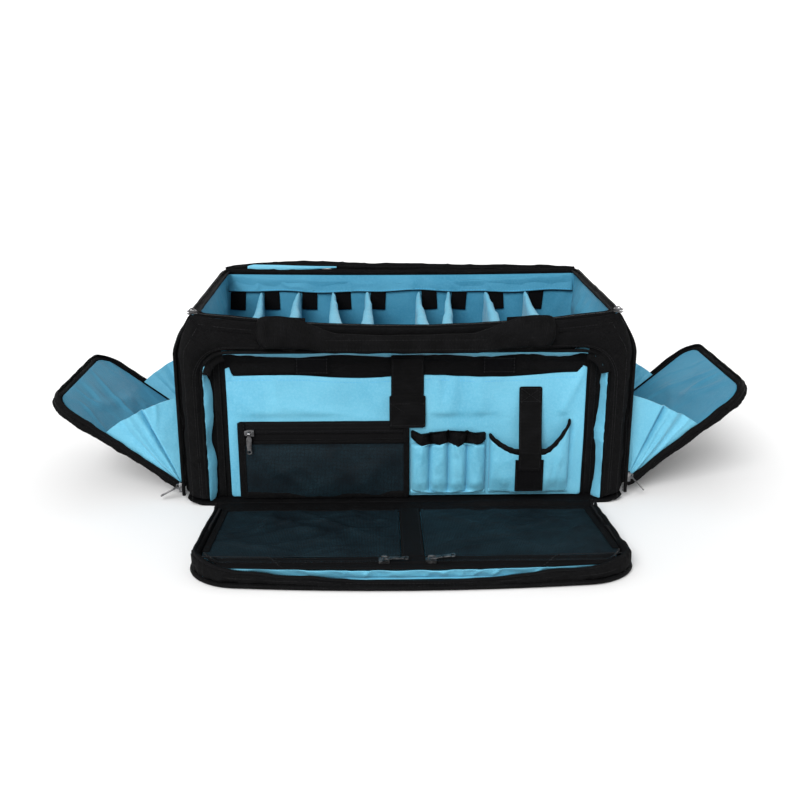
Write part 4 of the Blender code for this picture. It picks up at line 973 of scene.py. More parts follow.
def seam_line(sign, y, low=0.008):
    """From the floor up a side seam and over the shoulder to the rim."""
    face = (
        0.022 * math.sqrt(max(0.0, 1 - ((abs(y) - 0.113) / 0.022) ** 2)) if abs(y) > 0.113
        else 0.022
    )
    wall = 0.243 + face
    line = [(sign * wall, y, low), (sign * wall, y, 0.183)]
    for a in np.radians(range(8, 81, 8)):
        line.append((sign * (wall - 0.023 + 0.023 * math.cos(a)), y, 0.183 + 0.045 * math.sin(a)))
    return [(x + float(draw_in([(x, y, z)])[0]), y, z) for x, y, z in line]


def make_shell():
    base = grid_cloth("base_panel", "bottom_board", 0.012, "xy")
    press(base, end_lift, 2)
    roughen(base, lambda p: 0.0004 * lumps(p, 0.03, 1) * fade(p[:, 2], 0.001, 0.003))
    finish_piece(base, "bag_body", CANVAS, ["base_panel"])

    front = pad("front_frame", "front_wall", 0.0045, 0.0012, cap=0.004)
    press(front, end_lift, 2)
    press(front, draw_in, 0)
    roughen(
        front,
        lambda p: 0.0012 * creases(p, (0.050, 0.040, 0.020), 3, 0.25) + 0.0006 * lumps(p, 0.014, 4)
    )
    use(front, "SUBSURF", levels=1, render_levels=1)
    roughen(front, lambda p: 0.0003 * lumps(p, 0.005, 5))
    press(front, rim_sag, 2)
    finish_piece(front, "bag_body", CANVAS, ["front_frame"])

    back = pad("back_wall", "back_panel", 0.0055, 0.001, pressure=0.5, cap=0.005)
    press(back, end_lift, 2)
    press(back, draw_in, 0)
    roughen(
        back,
        lambda p: (
            0.0014 * creases(p, (0.060, 0.040, 0.035), 7, 0.5) + 0.0006 * lumps(p, 0.015, 8)
        ) * fade(p[:, 1], 0.126, 0.132)
    )
    use(back, "SUBSURF", levels=1, render_levels=1)
    finish_piece(back, "bag_body", CANVAS, ["back_wall"])

    for side, sign in SIDES:
        end = pad(f"{side}_end_frame", f"{side}_end_wall", 0.005, 0.001, cap=0.004)
        press(end, end_lift, 2)
        press(end, draw_in, 0)
        roughen(
            end,
            lambda p: (
                0.0012 * creases(p, (0.03, 0.045, 0.035), 11 + sign, 0.2)
                + 0.0006 * lumps(p, 0.014, 12)
            ) * fade(sign * p[:, 0], 0.248, 0.256)
        )
        use(end, "SUBSURF", levels=1, render_levels=1)
        finish_piece(end, "bag_body", CANVAS, [f"{side}_end_frame"])
        for place, y, wall in (("front", -0.1212, front), ("back", 0.1249, back)):
            pipe(f"{side}_{place}_piping", "bag_body", seam_line(sign, y), 0.0021)
            rise = seam_line(sign, y)
            flat = [(x - sign * 0.0125, 0, z - (0.004 if z > 0.2 else 0)) for x, _, z in rise]
            facing = BACKWARD if place == "front" else FORWARD
            run = onto(
                wall, [(x, -0.137 if place == "front" else 0.137, z) for x, _, z in flat], facing,
                0.0002
            )
            sew(f"{side}_{place}_seam", "bag_body", run, (0, -1 if place == "front" else 1, 0))
            run = onto(
                end, [(sign * 0.262, y * 0.955, z) for _, _, z in rise[:2]], (-sign, 0, 0), 0.0002
            )
            sew(f"{side}_{place}_end_seam", "bag_body", run, (sign, 0, 0))
        mouth = [(0, -0.100, 0.020)] + [
            (0, -0.100 + 0.028 * (1 - math.cos(a)), 0.150 + 0.028 * math.sin(a))
            for a in np.radians(range(0, 91, 15))
        ]
        mouth += [(0, -y, z) for _, y, z in reversed(mouth)]
        rim = onto(
            end, [(sign * 0.262, y * 1.015, z + 0.002) for _, y, z in mouth], (-sign, 0, 0), 0.0006
        )
        pipe(f"{side}_pocket_piping", "bag_body", rim, 0.0016, TAPE)

    # the arched opening: piping on its edge, two rows of stitches outside
    edge = onto(front, arch(0.2330, 0.007, 0.1880, 0.0315, -0.1372), BACKWARD, 0.0003)
    pipe("opening_piping", "bag_body", edge, 0.0021)
    for number, out in enumerate((0.0060, 0.0085)):
        run = onto(
            front, arch(0.2330 + out, 0.010, 0.1880 + out * 0.7, 0.0315 + out, -0.1372), BACKWARD,
            0.0002
        )
        sew(f"opening_seam_{number + 1}", "bag_body", run, FORWARD)

    # the hem folded over the rim, front and back
    for side, out in (("front", -1), ("back", 1)):
        def fold(u, v):
            x = -0.240 + 0.480 * u
            edge = rim_height(np.minimum(np.abs(x), RIM_HALF))
            z = edge - 0.0105 + 0.0125 * np.sin(np.pi / 2 * np.clip(v * 1.25, 0, 1))
            y = 0.1392 - 0.0012 * (1 - v) - 0.0075 * np.clip(v - 0.45, 0, 1) ** 1.6
            y = y - 0.0035 * fade(np.abs(x), 0.215, 0.240) + 0.0004 * np.sin(x * 120) * (1 - v)
            z = z + (rim_sag(np.stack([x, -y, z], 1)) if out < 0 else 0)
            return np.stack([x, out * y, z], 1)

        hem = cloth_grid(f"{side}_hem", 160, 10, fold, 0.0012)
        roughen(hem, lambda p: 0.0003 * lumps(p, 0.012, 6))
        finish_piece(hem, "bag_body", CANVAS)
        run = onto(
            hem, [tuple(p) for p in fold(np.linspace(0.02, 0.98, 80), np.full(80, 0.16))],
            (0, -out, 0), 0.0001
        )
        sew(f"{side}_hem_seam", "bag_body", run, (0, out, 0))


def make_main_compartment():
    tub = grid_cloth("main_tub", "main_lining", 0.010, "xyz", 1)

    def swelling(p):
        wall = (
            0.0013 * creases(p, (0.060, 0.070, 0.050), 21, 0.4)
            + 0.0010 * creases(p, (0.026, 0.030, 0.070), 22, -0.5)
        )
        inner = (
            fade(p[:, 1], -0.1125, -0.1115) * fade(-p[:, 1], -0.1195, -0.1185)
            * fade(-np.abs(p[:, 0]), -0.2375, -0.2355)
        )
        return wall * inner * fade(p[:, 2], 0.012, 0.03) * fade(-p[:, 2], -0.226, -0.212)

    points = points_of(tub)
    height = fade(points[:, 2], 0.010, 0.05) * (1 - 0.8 * fade(points[:, 2], 0.195, 0.226))
    for sign, peak, deep in ((-1, 0.000, 0.010), (1, 0.020, 0.017)):
        side = sign * points[:, 0]
        inside = (side > 0.234) & (side < 0.2425) & (np.abs(points[:, 1]) < 0.121)
        run = np.where(
            points[:, 1] > peak, (0.118 - points[:, 1]) / (0.118 - peak),
            (points[:, 1] + 0.112) / (peak + 0.112)
        )
        bulge = deep * np.clip(run, 0, 1) ** 0.85 * height
        bulge += 0.0016 * creases(points, (0.03, 0.028, 0.045), 23 + sign, 0.3) * height
        points[:, 0] -= sign * np.where(inside, bulge, 0)
    put_points(tub, points)
    roughen(tub, swelling)
    press(tub, rim_sag, 2)
    # the compartment's inside takes the darker copy of the blue lining: painted shade for its deep
    # recess
    finish_piece(tub, "bag_body", SHADED_LINING, ["main_tub"])

    # the back wall's facing, turned down from the rim, over the tops of the hook tabs
    def turned(u, v):
        x = -0.2335 + 0.467 * u
        high = 0.2262 - 0.0020 * (1 - (x / 0.2335) ** 2)
        low = 0.2035 + 0.0012 * np.sin(x * 29 + 1) + 0.0008 * np.sin(x * 71)
        z = low + (high - low) * v
        y = 0.1168 + 0.0095 * v**1.8 - 0.0010 * np.exp(-((v / 0.12) ** 2))
        place = np.stack([x, y, z], 1)
        place[:, 1] -= (
            0.0016 * creases(place, (0.030, 0.05, 0.060), 24, 0.15)
            * np.sin(np.pi * np.clip(v * 0.9 + 0.1, 0, 1))
        )
        return place

    facing = cloth_grid("back_facing", 180, 14, turned, 0.0014, finer=1)
    # the facing takes the darker copy of the blue lining: painted shade on the inside of the back
    # wall
    finish_piece(facing, "bag_body", SHADED_LINING, smooth=60)
    lay_sheet(facing)
    line = [tuple(p) for p in turned(np.linspace(0.01, 0.99, 90), np.full(90, 0.10))]
    sew_onto("back_facing_seam", "bag_body", facing, line, BACKWARD, look=BLUE_THREAD)
    # a thin black cord along the facing's lower edge: the black thread sewn there and a painted
    # shadow line under the turned-down facing
    edge = [tuple(p) for p in turned(np.linspace(0, 1, 90), np.full(90, 0.0))]
    pipe("back_facing_edge_and_shadow_line", "bag_body", edge, 0.0008, TAPE)

    backs = (-0.190, -0.139, -0.093, -0.046, 0.024, 0.064, 0.115, 0.169)
    fronts = (-0.184, -0.128, -0.080, -0.048, 0.025, 0.049, 0.107, 0.166)
    leans = (0.011, 0.007, 0.004, 0.005, 0.004, -0.003, -0.004, -0.006)
    for number, (back_x, front_x, lean) in enumerate(zip(backs, fronts, leans), 1):
        def middle(u, v):
            y = -0.1105 + 0.2275 * u
            z = 0.0115 + 0.1915 * v - 0.006 * v * (1 - u) * math.cos(number)
            x = front_x + (back_x - front_x) * u + lean * (v - 0.6) * (1 - u) * 0.7
            bend = 0.0035 * np.sin(np.pi * u) * math.sin(number * 2.1) * v
            place = np.stack([x + bend, y, z], 1)
            place[:, 0] += (
                0.0013 * creases(place, (0.05, 0.040, 0.045), 30 + number, 0.4)
                * np.sin(np.pi * np.clip(u, 0, 1)) ** 0.3
            )
            return place

        def half(u, v):
            return (
                0.0038 + 0.0056 * (1 - u) ** 1.2 * (0.35 + 0.65 * v)
                - 0.0010 * fade(v, 0.75, 1.0) * u
            )

        wing = pillow(
            f"padded_divider_{number}", 44, 36, middle, (1, 0, 0), half, 0.0055, (0.2275, 0.19)
        )
        use(wing, "SUBSURF", levels=1, render_levels=1)
        roughen(wing, lambda p: 0.0005 * lumps(p, 0.012, 60 + number))
        finish_piece(wing, "bag_body", LINING, [f"divider_{number}"], smooth=60)
        top = [tuple(p) for p in middle(np.linspace(0.04, 0.96, 26), np.full(26, 0.965))]
        for face, sign in SIDES:
            run = onto(wing, [(x + sign * 0.014, y, z) for x, y, z in top], (-sign, 0, 0), 0.0001)
            sew(f"divider_{number}_{face}_seam", "bag_body", run, (sign, 0, 0), BLUE_THREAD)
        tabs = [back_x + 0.0145]
        if number == 1:
            tabs.append(-0.2215)
        for extra, x in enumerate(tabs):
            turn = 0.0012 * math.sin(number * 3 + extra)
            run = onto(
                tub, [(x + turn, 0.112, 0.1785), (x - turn, 0.112, 0.2055)], BACKWARD, 0.0011
            )
            name = f"hook_tab_{number}" if extra == 0 else "hook_tab_end"
            finish_piece(
                ribbon(name, run, FORWARD, 0.0205, 0.0014, rows=10, crown=0.0004), "bag_body",
                PILE
            )


def rim_path(out=0.0, drop=0.0):
    """Round the mouth: up the left side, along the front, back up the right side."""
    half, near, radius = 0.237 + out, -0.127 - out, 0.012 + out
    line = [(-half, 0.1205), (-half, 0.02)]
    line += [
        (-half + radius - radius * math.cos(a), near + radius - radius * math.sin(a))
        for a in np.radians(range(0, 91, 10))
    ]
    line += [(x, near) for x in np.linspace(-half + radius, half - radius, 60)[1:-1]]
    line += [(-x, y) for x, y in reversed(line[: 12])]
    return [
        (x, y, float(rim_height(min(abs(x) + 0.005, RIM_HALF))) + 0.0021 - drop) for x, y in line
    ]


def make_rim():
    zip_band = grid_cloth("rim_zip", "rim_tape", 0.008, "xy", 1)
    roughen(zip_band, lambda p: 0.0005 * lumps(p, 0.016, 35))
    press(zip_band, rim_sag, 2)
    finish_piece(zip_band, "bag_body", TAPE, ["rim_zip"])
    teeth = onto(zip_band, rim_path(0.0034, -0.004), DOWNWARD, 0.0004, spacing=0.003)
    zip_run("rim_coil", "bag_body", teeth, UPWARD, width=0.0030)
    sew_onto("rim_seam", "bag_body", zip_band, rim_path(-0.0022, -0.004), DOWNWARD, 0.0002)
    bead = onto(zip_band, rim_path(-0.0042, -0.004), DOWNWARD, 0.0002)
    pipe("rim_inner_binding", "bag_body", bead, 0.0014, TAPE)
    # the rim's back run, a bound edge with soft corners
    xs = np.linspace(-0.226, 0.226, 60)
    back = [
        (
            x, 0.1290 + 0.0006 * math.sin(x * 41),
            0.2290 - 0.0018 * (1 - (x / 0.23) ** 2) + 0.0005 * math.sin(x * 57)
        )
        for x in xs
    ]
    left = [(-0.2385, 0.096, 0.2298), (-0.2385, 0.110, 0.2300)] + [
        (-0.2265 - 0.0120 * math.cos(a), 0.1165 + 0.0125 * math.sin(a), 0.2300)
        for a in np.radians(range(0, 90, 15))
    ]
    path = left + back + [(-x, y, z) for x, y, z in reversed(left)]
    high = spread(path, [0.0055 if abs(p[0]) > 0.232 else 0.0078 for p in path])
    bar = tube(
        "back_rim_binding", path, high, high * 0.62, standing=UPWARD, spacing=0.003, sides=16,
        square=0.9
    )
    roughen(
        bar,
        lambda p: 0.0006 * creases(p, (0.024, 0.02, 0.012), 36, 0.1) + 0.0004 * lumps(p, 0.009, 37)
    )
    finish_piece(bar, "bag_body", CANVAS, smooth=60)
    for name, x, turn in (("left", -0.2385, 0.5), ("right", 0.2385, -0.5)):
        body = make_small_slider(f"rim_slider_{name}")
        body.matrix_world = (
            Matrix.Translation((x, -0.1290, 0.2315)) @ Matrix.Rotation(turn, 4, "Z")
        )
        settle(body)
        finish_piece(body, "bag_body", METAL, smooth=35)


def make_small_slider(name):
    """A zip slider with its bridge, on a coil that runs along X."""
    pieces = []
    for size, place, soft in (
        ((0.0105, 0.0074, 0.0010), (0, 0, 0.0022), 0.0004),
        ((0.0105, 0.0074, 0.0010), (0, 0, -0.0006), 0.0004),
        ((0.0050, 0.0014, 0.0030), (-0.001, 0, 0.0008), 0.0003)
    ):
        let_go()
        bpy.ops.mesh.primitive_cube_add(size=1, location=place)
        part = bpy.context.object
        part.scale = size
        settle(part)
        taper = points_of(part)
        taper[:, 1] *= 1 - 0.30 * (taper[:, 0] < 0)
        put_points(part, taper)
        use(part, "BEVEL", width=soft, segments=2)
        pieces.append(part)
    bow = [
        (x, 0, 0.0026 + 0.0026 * math.sin(math.pi * (x + 0.0036) / 0.0072))
        for x in np.linspace(-0.0036, 0.0036, 9)
    ]
    pieces.append(cord_along(name + "_bridge", bow, 0.00075, spacing=0.0009))
    return join(name, pieces)


def make_lid():
    lid = pad("lid_panel", "padded_lid", 0.005, 0.001, pressure=0.7, cap=0.004)
    roughen(
        lid,
        lambda p: 0.0013 * creases(p, (0.060, 0.060, 0.050), 41, 0.6)
        + 0.0005 * lumps(p, 0.016, 42)
    )
    use(lid, "SUBSURF", levels=1, render_levels=1)
    finish_piece(lid, "lid", CANVAS, ["lid_panel"])
    lining = grid_cloth("lid_lining", "lid_lining_cloth", 0.010, "xz", 1)
    press(lining, lambda p: 0.0006 * creases(p, (0.05, 0.05, 0.04), 43, 0.3))
    finish_piece(lining, "lid", LINING, ["lid_lining"])
    lay_sheet(lining)
    band = grid_cloth("lid_hinge_band", "lid_fold_band", 0.008, "xz", 1)
    finish_piece(band, "bag_body", CANVAS, ["lid_hinge_band"])

    # the rolled fold that the lid turns on, and the sliver of lining under it
    xs = np.array(
        [-0.2395, -0.225, -0.200, -0.150, -0.100, -0.040, 0.000, 0.060, 0.120, 0.190, 0.2395]
    )
    tops = np.array(
        [0.2335, 0.2370, 0.2395, 0.2415, 0.2412, 0.2385, 0.2378, 0.2368, 0.2360, 0.2350, 0.2330]
    )
    deep = np.array(
        [0.0040, 0.0070, 0.0085, 0.0095, 0.0105, 0.0105, 0.0100, 0.0100, 0.0095, 0.0085, 0.0050]
    )
    path = [
        (x, 0.1395 + 0.0008 * math.sin(x * 37), top - high / 2) for x, top,
        high in zip(xs, tops, deep)
    ]
    roll = tube(
        "lid_roll", path, spread(path, deep), spread(path, deep * 0.75), standing=UPWARD,
        spacing=0.003, sides=20, square=0.9
    )
    roughen(
        roll,
        lambda p: 0.0006 * creases(p, (0.030, 0.020, 0.010), 44, 0.1)
        + 0.0004 * lumps(p, 0.012, 45)
    )
    finish_piece(roll, "bag_body", CANVAS, smooth=60)
    sew(
        "lid_roll_seam", "bag_body",
        onto(roll, [(x, y - 0.004, z + 0.0012) for x, y, z in path[1:-1]], BACKWARD, 0.0002),
        (0, -1, 0.3)
    )
    xs = np.linspace(-0.209, -0.088, 30)
    line = [(x, 0.1350, 0.2336 - 0.0006 * math.sin((x + 0.209) / 0.121 * 3.1)) for x in xs]
    sliver = ribbon(
        "fold_lining", line, (0, -1, 0.25),
        np.interp(np.linspace(0, 1, 30), [0, 0.06, 0.35, 1], [0.003, 0.0080, 0.0072, 0.0012]),
        0.0012, columns=6, rows=60, crown=0.0008
    )
    finish_piece(sliver, "bag_body", LINING)
    lay_sheet(sliver)


# ---------------------------------------------------------------- the organiser


def near_strap(points, low, high):
    """1 beside the hanging straps, where the sheet behind them stays flat."""
    return fade(points[:, 0], low - 0.006, low) * fade(-points[:, 0], -high - 0.006, -high)


def make_organiser():
    panel = grid_cloth("organiser_panel", "organiser_board", 0.010, "xz", 1)
    front = lambda p: fade(-p[:, 1], 0.1195, 0.1205)
    press(
        panel, lambda p: front(p) * (0.0009 + 0.0006 * creases(p, (0.045, 0.04, 0.012), 51, 0.1))
    )
    finish_piece(panel, "bag_body", CANVAS, ["organiser_panel"])
    band = [
        (x, -0.125, 0.1655 + 0.0012 * math.sin(x * 17)) for x in np.linspace(-0.208, 0.208, 70)
    ]
    tape(
        "organiser_top_band", "bag_body", onto(panel, band, BACKWARD, 0.0004), FORWARD, 0.0125,
        0.0008, CANVAS, crown=0.0003, columns=6
    )
    for sign, side in ((-1, "left"), (1, "right")):
        line = [(sign * 0.2165, -0.125, 0.008), (sign * 0.2165, -0.125, 0.172)]
        run = onto(panel, line, BACKWARD, 0.0007)
        binding = ribbon(
            f"organiser_{side}_border", run, FORWARD, 0.0085, 0.0011, columns=6, crown=0.0007
        )
        press(binding, lambda p: 0.0004 * lumps(p, 0.014, 52))
        finish_piece(binding, "bag_body", CANVAS)
        for place in (-0.0030, 0.0030):
            sew_onto(
                f"organiser_{side}_border_seam_{1 if place < 0 else 2}", "bag_body", binding,
                [(x + place, y, z) for x, y, z in line], BACKWARD
            )

    # the blue facing between the arched opening and the panel
    ring = grid_cloth("organiser_gusset", "organiser_facing", 0.005, "xz", 1)

    def ripple(p):
        upright = fade(np.abs(p[:, 0]), 0.205, 0.216)
        inner = fade(-np.abs(p[:, 0]), -0.2305, -0.2265)
        wave = (
            0.0016 * np.sin(p[:, 2] / 0.0065 + np.sign(p[:, 0])) * 0.35
            + 0.0019 * np.sin(p[:, 2] / 0.0135 + 1.3 * np.sign(p[:, 0]))
        )
        return np.sign(p[:, 0]) * -wave * upright * inner

    press(ring, ripple, 0)
    points = points_of(ring)
    corner = (
        fade(np.abs(points[:, 0]), 0.186, 0.208) * fade(points[:, 2], 0.146, 0.168)
        * fade(points[:, 1], -0.1345, -0.1240)
    )
    points[:, 0] += (
        np.sign(points[:, 0]) * 0.0062 * corner * fade(np.abs(points[:, 0]), 0.192, 0.214)
    )
    points[:, 2] += 0.0062 * corner * fade(points[:, 2], 0.150, 0.172)
    put_points(ring, points)
    press(
        ring,
        lambda p: (0.0012 * np.sin(p[:, 0] / 0.017) + 0.0009 * lumps(p, 0.02, 53))
        * fade(p[:, 2], 0.172, 0.178) * fade(-p[:, 2], -0.1845, -0.1815),
        2
    )
    roughen(ring, lambda p: 0.0006 * creases(p, (0.020, 0.02, 0.014), 54, 0.2))
    finish_piece(ring, "bag_body", LINING, ["organiser_gusset"])
    lay_sheet(ring)
    for sign, side in ((-1, "left"), (1, "right")):
        bend = [
            (sign * (0.2015 + 0.0265 * math.cos(a)), -0.1338, 0.1570 + 0.0265 * math.sin(a))
            for a in np.radians(range(8, 84, 6))
        ]
        corner = ribbon(
            f"organiser_{side}_corner", bend, FORWARD, 0.0125, 0.0011, columns=6, crown=0.0006
        )
        roughen(corner, lambda p: 0.0003 * lumps(p, 0.010, 53))
        finish_piece(corner, "bag_body", CANVAS)

    # the full-width slip sheet with its soft pulls
    sheet = grid_cloth("slip_pocket_sheet", "slip_pocket", 0.006, "xz", 1)

    def pulls(p):
        open_part = fade(p[:, 2], 0.104, 0.112)
        edges = np.maximum(fade(-p[:, 0], 0.1965, 0.2005), fade(p[:, 0], 0.194, 0.198))
        free = np.maximum(open_part, edges)
        calm = np.maximum(near_strap(p, -0.021, 0.025), near_strap(p, 0.129, 0.160))
        w = (
            0.0011 * lumps(p * [1, 0, 1], 0.050, 55)
            + 0.0006 * creases(p, (0.045, 0.1, 0.060), 56, 0.6)
        )
        w += 0.0020 * fold_line(p, (0.034, -0.122, 0.158), (0.040, -0.122, 0.104), 0.006)
        w += 0.0022 * fold_line(p, (0.056, -0.122, 0.160), (0.050, -0.122, 0.100), 0.008)
        w += 0.0016 * fold_line(p, (0.082, -0.122, 0.158), (0.090, -0.122, 0.104), 0.009)
        w -= 0.0014 * fold_line(p, (0.098, -0.122, 0.158), (0.118, -0.122, 0.118), 0.010)
        w += 0.0018 * fold_line(p, (0.203, -0.122, 0.154), (0.176, -0.122, 0.100), 0.004)
        w += 0.0013 * fold_line(p, (0.199, -0.122, 0.100), (0.190, -0.122, 0.012), 0.004)
        w += 0.0012 * fold_line(p, (-0.052, -0.122, 0.150), (-0.020, -0.122, 0.108), 0.008)
        w += 0.0012 * fold_line(p, (-0.205, -0.122, 0.140), (-0.160, -0.122, 0.104), 0.009)
        w += 0.0010 * fold_line(p, (-0.140, -0.122, 0.118), (-0.060, -0.122, 0.104), 0.007)
        return -(w * 1.5 + 0.0006) * free * (1 - 0.85 * calm)

    press(sheet, pulls)
    press(
        sheet,
        lambda p: 0.0045 * fade(-p[:, 0], 0.196, 0.2095) - 0.0020 * fade(p[:, 0], 0.196, 0.2095), 0
    )
    press(
        sheet,
        lambda p: 0.0016 * np.sin(p[:, 0] * 38 + 0.6) * fade(p[:, 2], 0.148, 0.157)
        - 0.0025 * fade(p[:, 2], 0.148, 0.157) * (1 - (p[:, 0] / 0.211) ** 2),
        2
    )
    finish_piece(sheet, "bag_body", LINING, ["slip_pocket_sheet"])
    hem = [
        (x, -0.1265, 0.1515 - 0.0025 * (1 - (x / 0.211) ** 2) + 0.0014 * math.sin(x * 38 + 0.6))
        for x in np.linspace(-0.204, 0.204, 90)
    ]
    sew_onto("slip_sheet_seam", "bag_body", sheet, hem, BACKWARD, look=BLUE_THREAD)
    for side, sign in SIDES:
        def hanging(u, v):
            x = sign * ((0.2065 if sign < 0 else 0.2088) - 0.0095 * u * (1 - 0.5 * v))
            y = -0.1222 - 0.0006 * np.sin(np.pi * u)
            return np.stack([x, y, 0.150 + 0.0145 * v + 0.002 * u * v], 1)

        tab = cloth_grid(f"sheet_tab_{side}", 8, 12, hanging, 0.0011, finer=1)
        finish_piece(tab, "bag_body", LINING)
        lay_sheet(tab)

    for side, sign in SIDES:
        patch = grid_cloth(f"hook_patch_{side}", f"hook_tape_{side}", 0.006, "xz", 0)
        press(patch, lambda p: 0.0003 * lumps(p, 0.012, 57))
        finish_piece(patch, "bag_body", PILE, [f"hook_patch_{side}"])
        low, high = sign * 0.0905, sign * 0.1245
        box_stitch(
            f"hook_patch_{side}_seam", "bag_body",
            [
                (low, -0.1229, 0.1592), (high, -0.1229, 0.1592), (high, -0.1229, 0.1752),
                (low, -0.1229, 0.1752)
            ],
            cross=False
        )

    make_mesh_pocket()
    make_pen_pocket()
    make_device_pocket()
    make_straps()


def make_mesh_pocket():
    pocket = grid_cloth("mesh_pocket", "mesh_pocket_cloth", 0.0055, "xz", 1)

    def slack(p):
        across = np.clip(1 - ((p[:, 0] + 0.095) / 0.0965) ** 2, 0, 1)
        up = np.clip(1 - ((p[:, 2] - 0.036) / 0.0325) ** 2, 0, 1)
        w = 0.0030 * across**0.7 * up**0.8
        w += 0.0013 * creases(p, (0.040, 0.05, 0.030), 58, 0.5) * across**0.5 * up**0.5
        w += 0.0014 * fold_line(p, (-0.178, -0.125, 0.066), (-0.120, -0.125, 0.018), 0.007)
        w += 0.0014 * fold_line(p, (-0.010, -0.125, 0.064), (-0.060, -0.125, 0.020), 0.008)
        return -np.maximum(w, -0.0004) * (p[:, 1] < 0)

    press(pocket, slack)
    finish_piece(pocket, "bag_body", MESH, ["mesh_pocket"])
    band = grid_cloth("mesh_pocket_zip", "mesh_pocket_tape", 0.005, "xz", 1)
    press(
        band,
        lambda p: 0.0005 * lumps(p, 0.020, 59) * (
            1 - fade(-np.abs(p[:, 2] - 0.0883), -0.0075, -0.0055)
        )
    )
    finish_piece(band, "bag_body", TAPE, ["mesh_pocket_zip"])
    line = [(-0.187, -0.130, 0.0883), (0.001, -0.130, 0.0883)]
    zip_run(
        "mesh_pocket_coil", "bag_body", onto(band, line, BACKWARD, -0.0002), FORWARD, width=0.0033
    )
    for name, height in (("upper", 0.0985), ("upper_inner", 0.0935), ("lower", 0.0790)):
        sew_onto(
            f"mesh_pocket_{name}_seam", "bag_body", band,
            [(-0.192, -0.130, height), (0.002, -0.130, height)], BACKWARD
        )
    for name, ends, wide in (
        ("left", [(-0.1912, 0.0075), (-0.1912, 0.100)], 0.0085),
        ("right", [(0.0008, 0.0075), (0.0008, 0.100)], 0.0070),
        ("foot", [(-0.193, 0.0095), (0.003, 0.0095)], 0.0085),
        ("top", [(-0.193, 0.0762), (0.003, 0.0762)], 0.0045),
    ):
        path = [
            (x, -0.1262 - (0.0004 if name == "top" else 0.0), z) for x,
            z in ease([(x, 0, z) for x, z in ends], 30)[:, [0, 2]]
        ]
        binding = ribbon(
            f"mesh_pocket_{name}_binding", path, FORWARD, wide, 0.0011, columns=6, crown=0.0006
        )
        press(binding, lambda p: 0.0003 * lumps(p, 0.010, 61))
        finish_piece(binding, "bag_body", CANVAS)
        if name in ("left", "foot"):
            inner = [
                (
                    x + (0.0030 if name == "left" else 0), y, z + (0.0030 if name == "foot" else 0)
                ) for x,
                y, z in path[1:-1]
            ]
            sew_onto(f"mesh_pocket_{name}_binding_seam", "bag_body", binding, inner, BACKWARD)


def channel_share(x):
    """0 at each pen channel's seams and 1 at its middle."""
    return np.sin(np.pi * np.clip((x - 0.006) / 0.088, 0, 1) * 4) ** 2


def make_pen_pocket():
    pens = grid_cloth("pen_pocket", "pen_channels", 0.004, "z", 1)
    press(
        pens,
        lambda p: (
            0.0013 * creases(p, (0.0065, 0.02, 0.080), 62, 0.08) + 0.0006 * lumps(p, 0.008, 63)
        ) * channel_share(p[:, 0]) * (p[:, 1] < -0.1245)
    )
    press(
        pens,
        lambda p: 0.0022 * np.sin(p[:, 2] / 0.011 + p[:, 0] * 60) * channel_share(p[:, 0])
        * fade(-p[:, 1], 0.125, 0.129),
        0
    )
    press(pens, lambda p: (p[:, 1] + 0.1240) * -0.35 * fade(-p[:, 2], -0.028, -0.014))
    finish_piece(pens, "bag_body", LINING, ["pen_pocket"], smooth=60)
    edge = grid_cloth("pen_elastic", "pen_elastic_edge", 0.0035, "z", 1)
    press(
        edge, lambda p: -0.0042 * channel_share(p[:, 0]) + 0.0016 * np.sin(p[:, 0] * 180) + 0.0008,
        2
    )
    press(
        edge,
        lambda p: 0.0007 * np.sin(p[:, 0] / 0.0011) * channel_share(p[:, 0])
        + 0.0008 * lumps(p, 0.007, 64) * channel_share(p[:, 0])
    )
    finish_piece(edge, "bag_body", RIBBING, ["pen_elastic"], smooth=60)
    foot = [(x, -0.1248, 0.0125) for x in np.linspace(0.006, 0.094, 30)]
    hem = ribbon("pen_pocket_hem", foot, FORWARD, 0.0055, 0.0014, columns=4, rows=60, crown=0.0008)
    press(hem, lambda p: 0.0006 * np.sin(p[:, 0] / 0.0023))
    finish_piece(hem, "bag_body", LINING)
    for number in range(1, 4):
        x = PEN_START + number * PEN_WIDTH
        sew_onto(
            f"pen_seam_{number}", "bag_body", pens, [(x, -0.128, 0.016), (x, -0.128, 0.073)],
            BACKWARD, look=BLUE_THREAD
        )


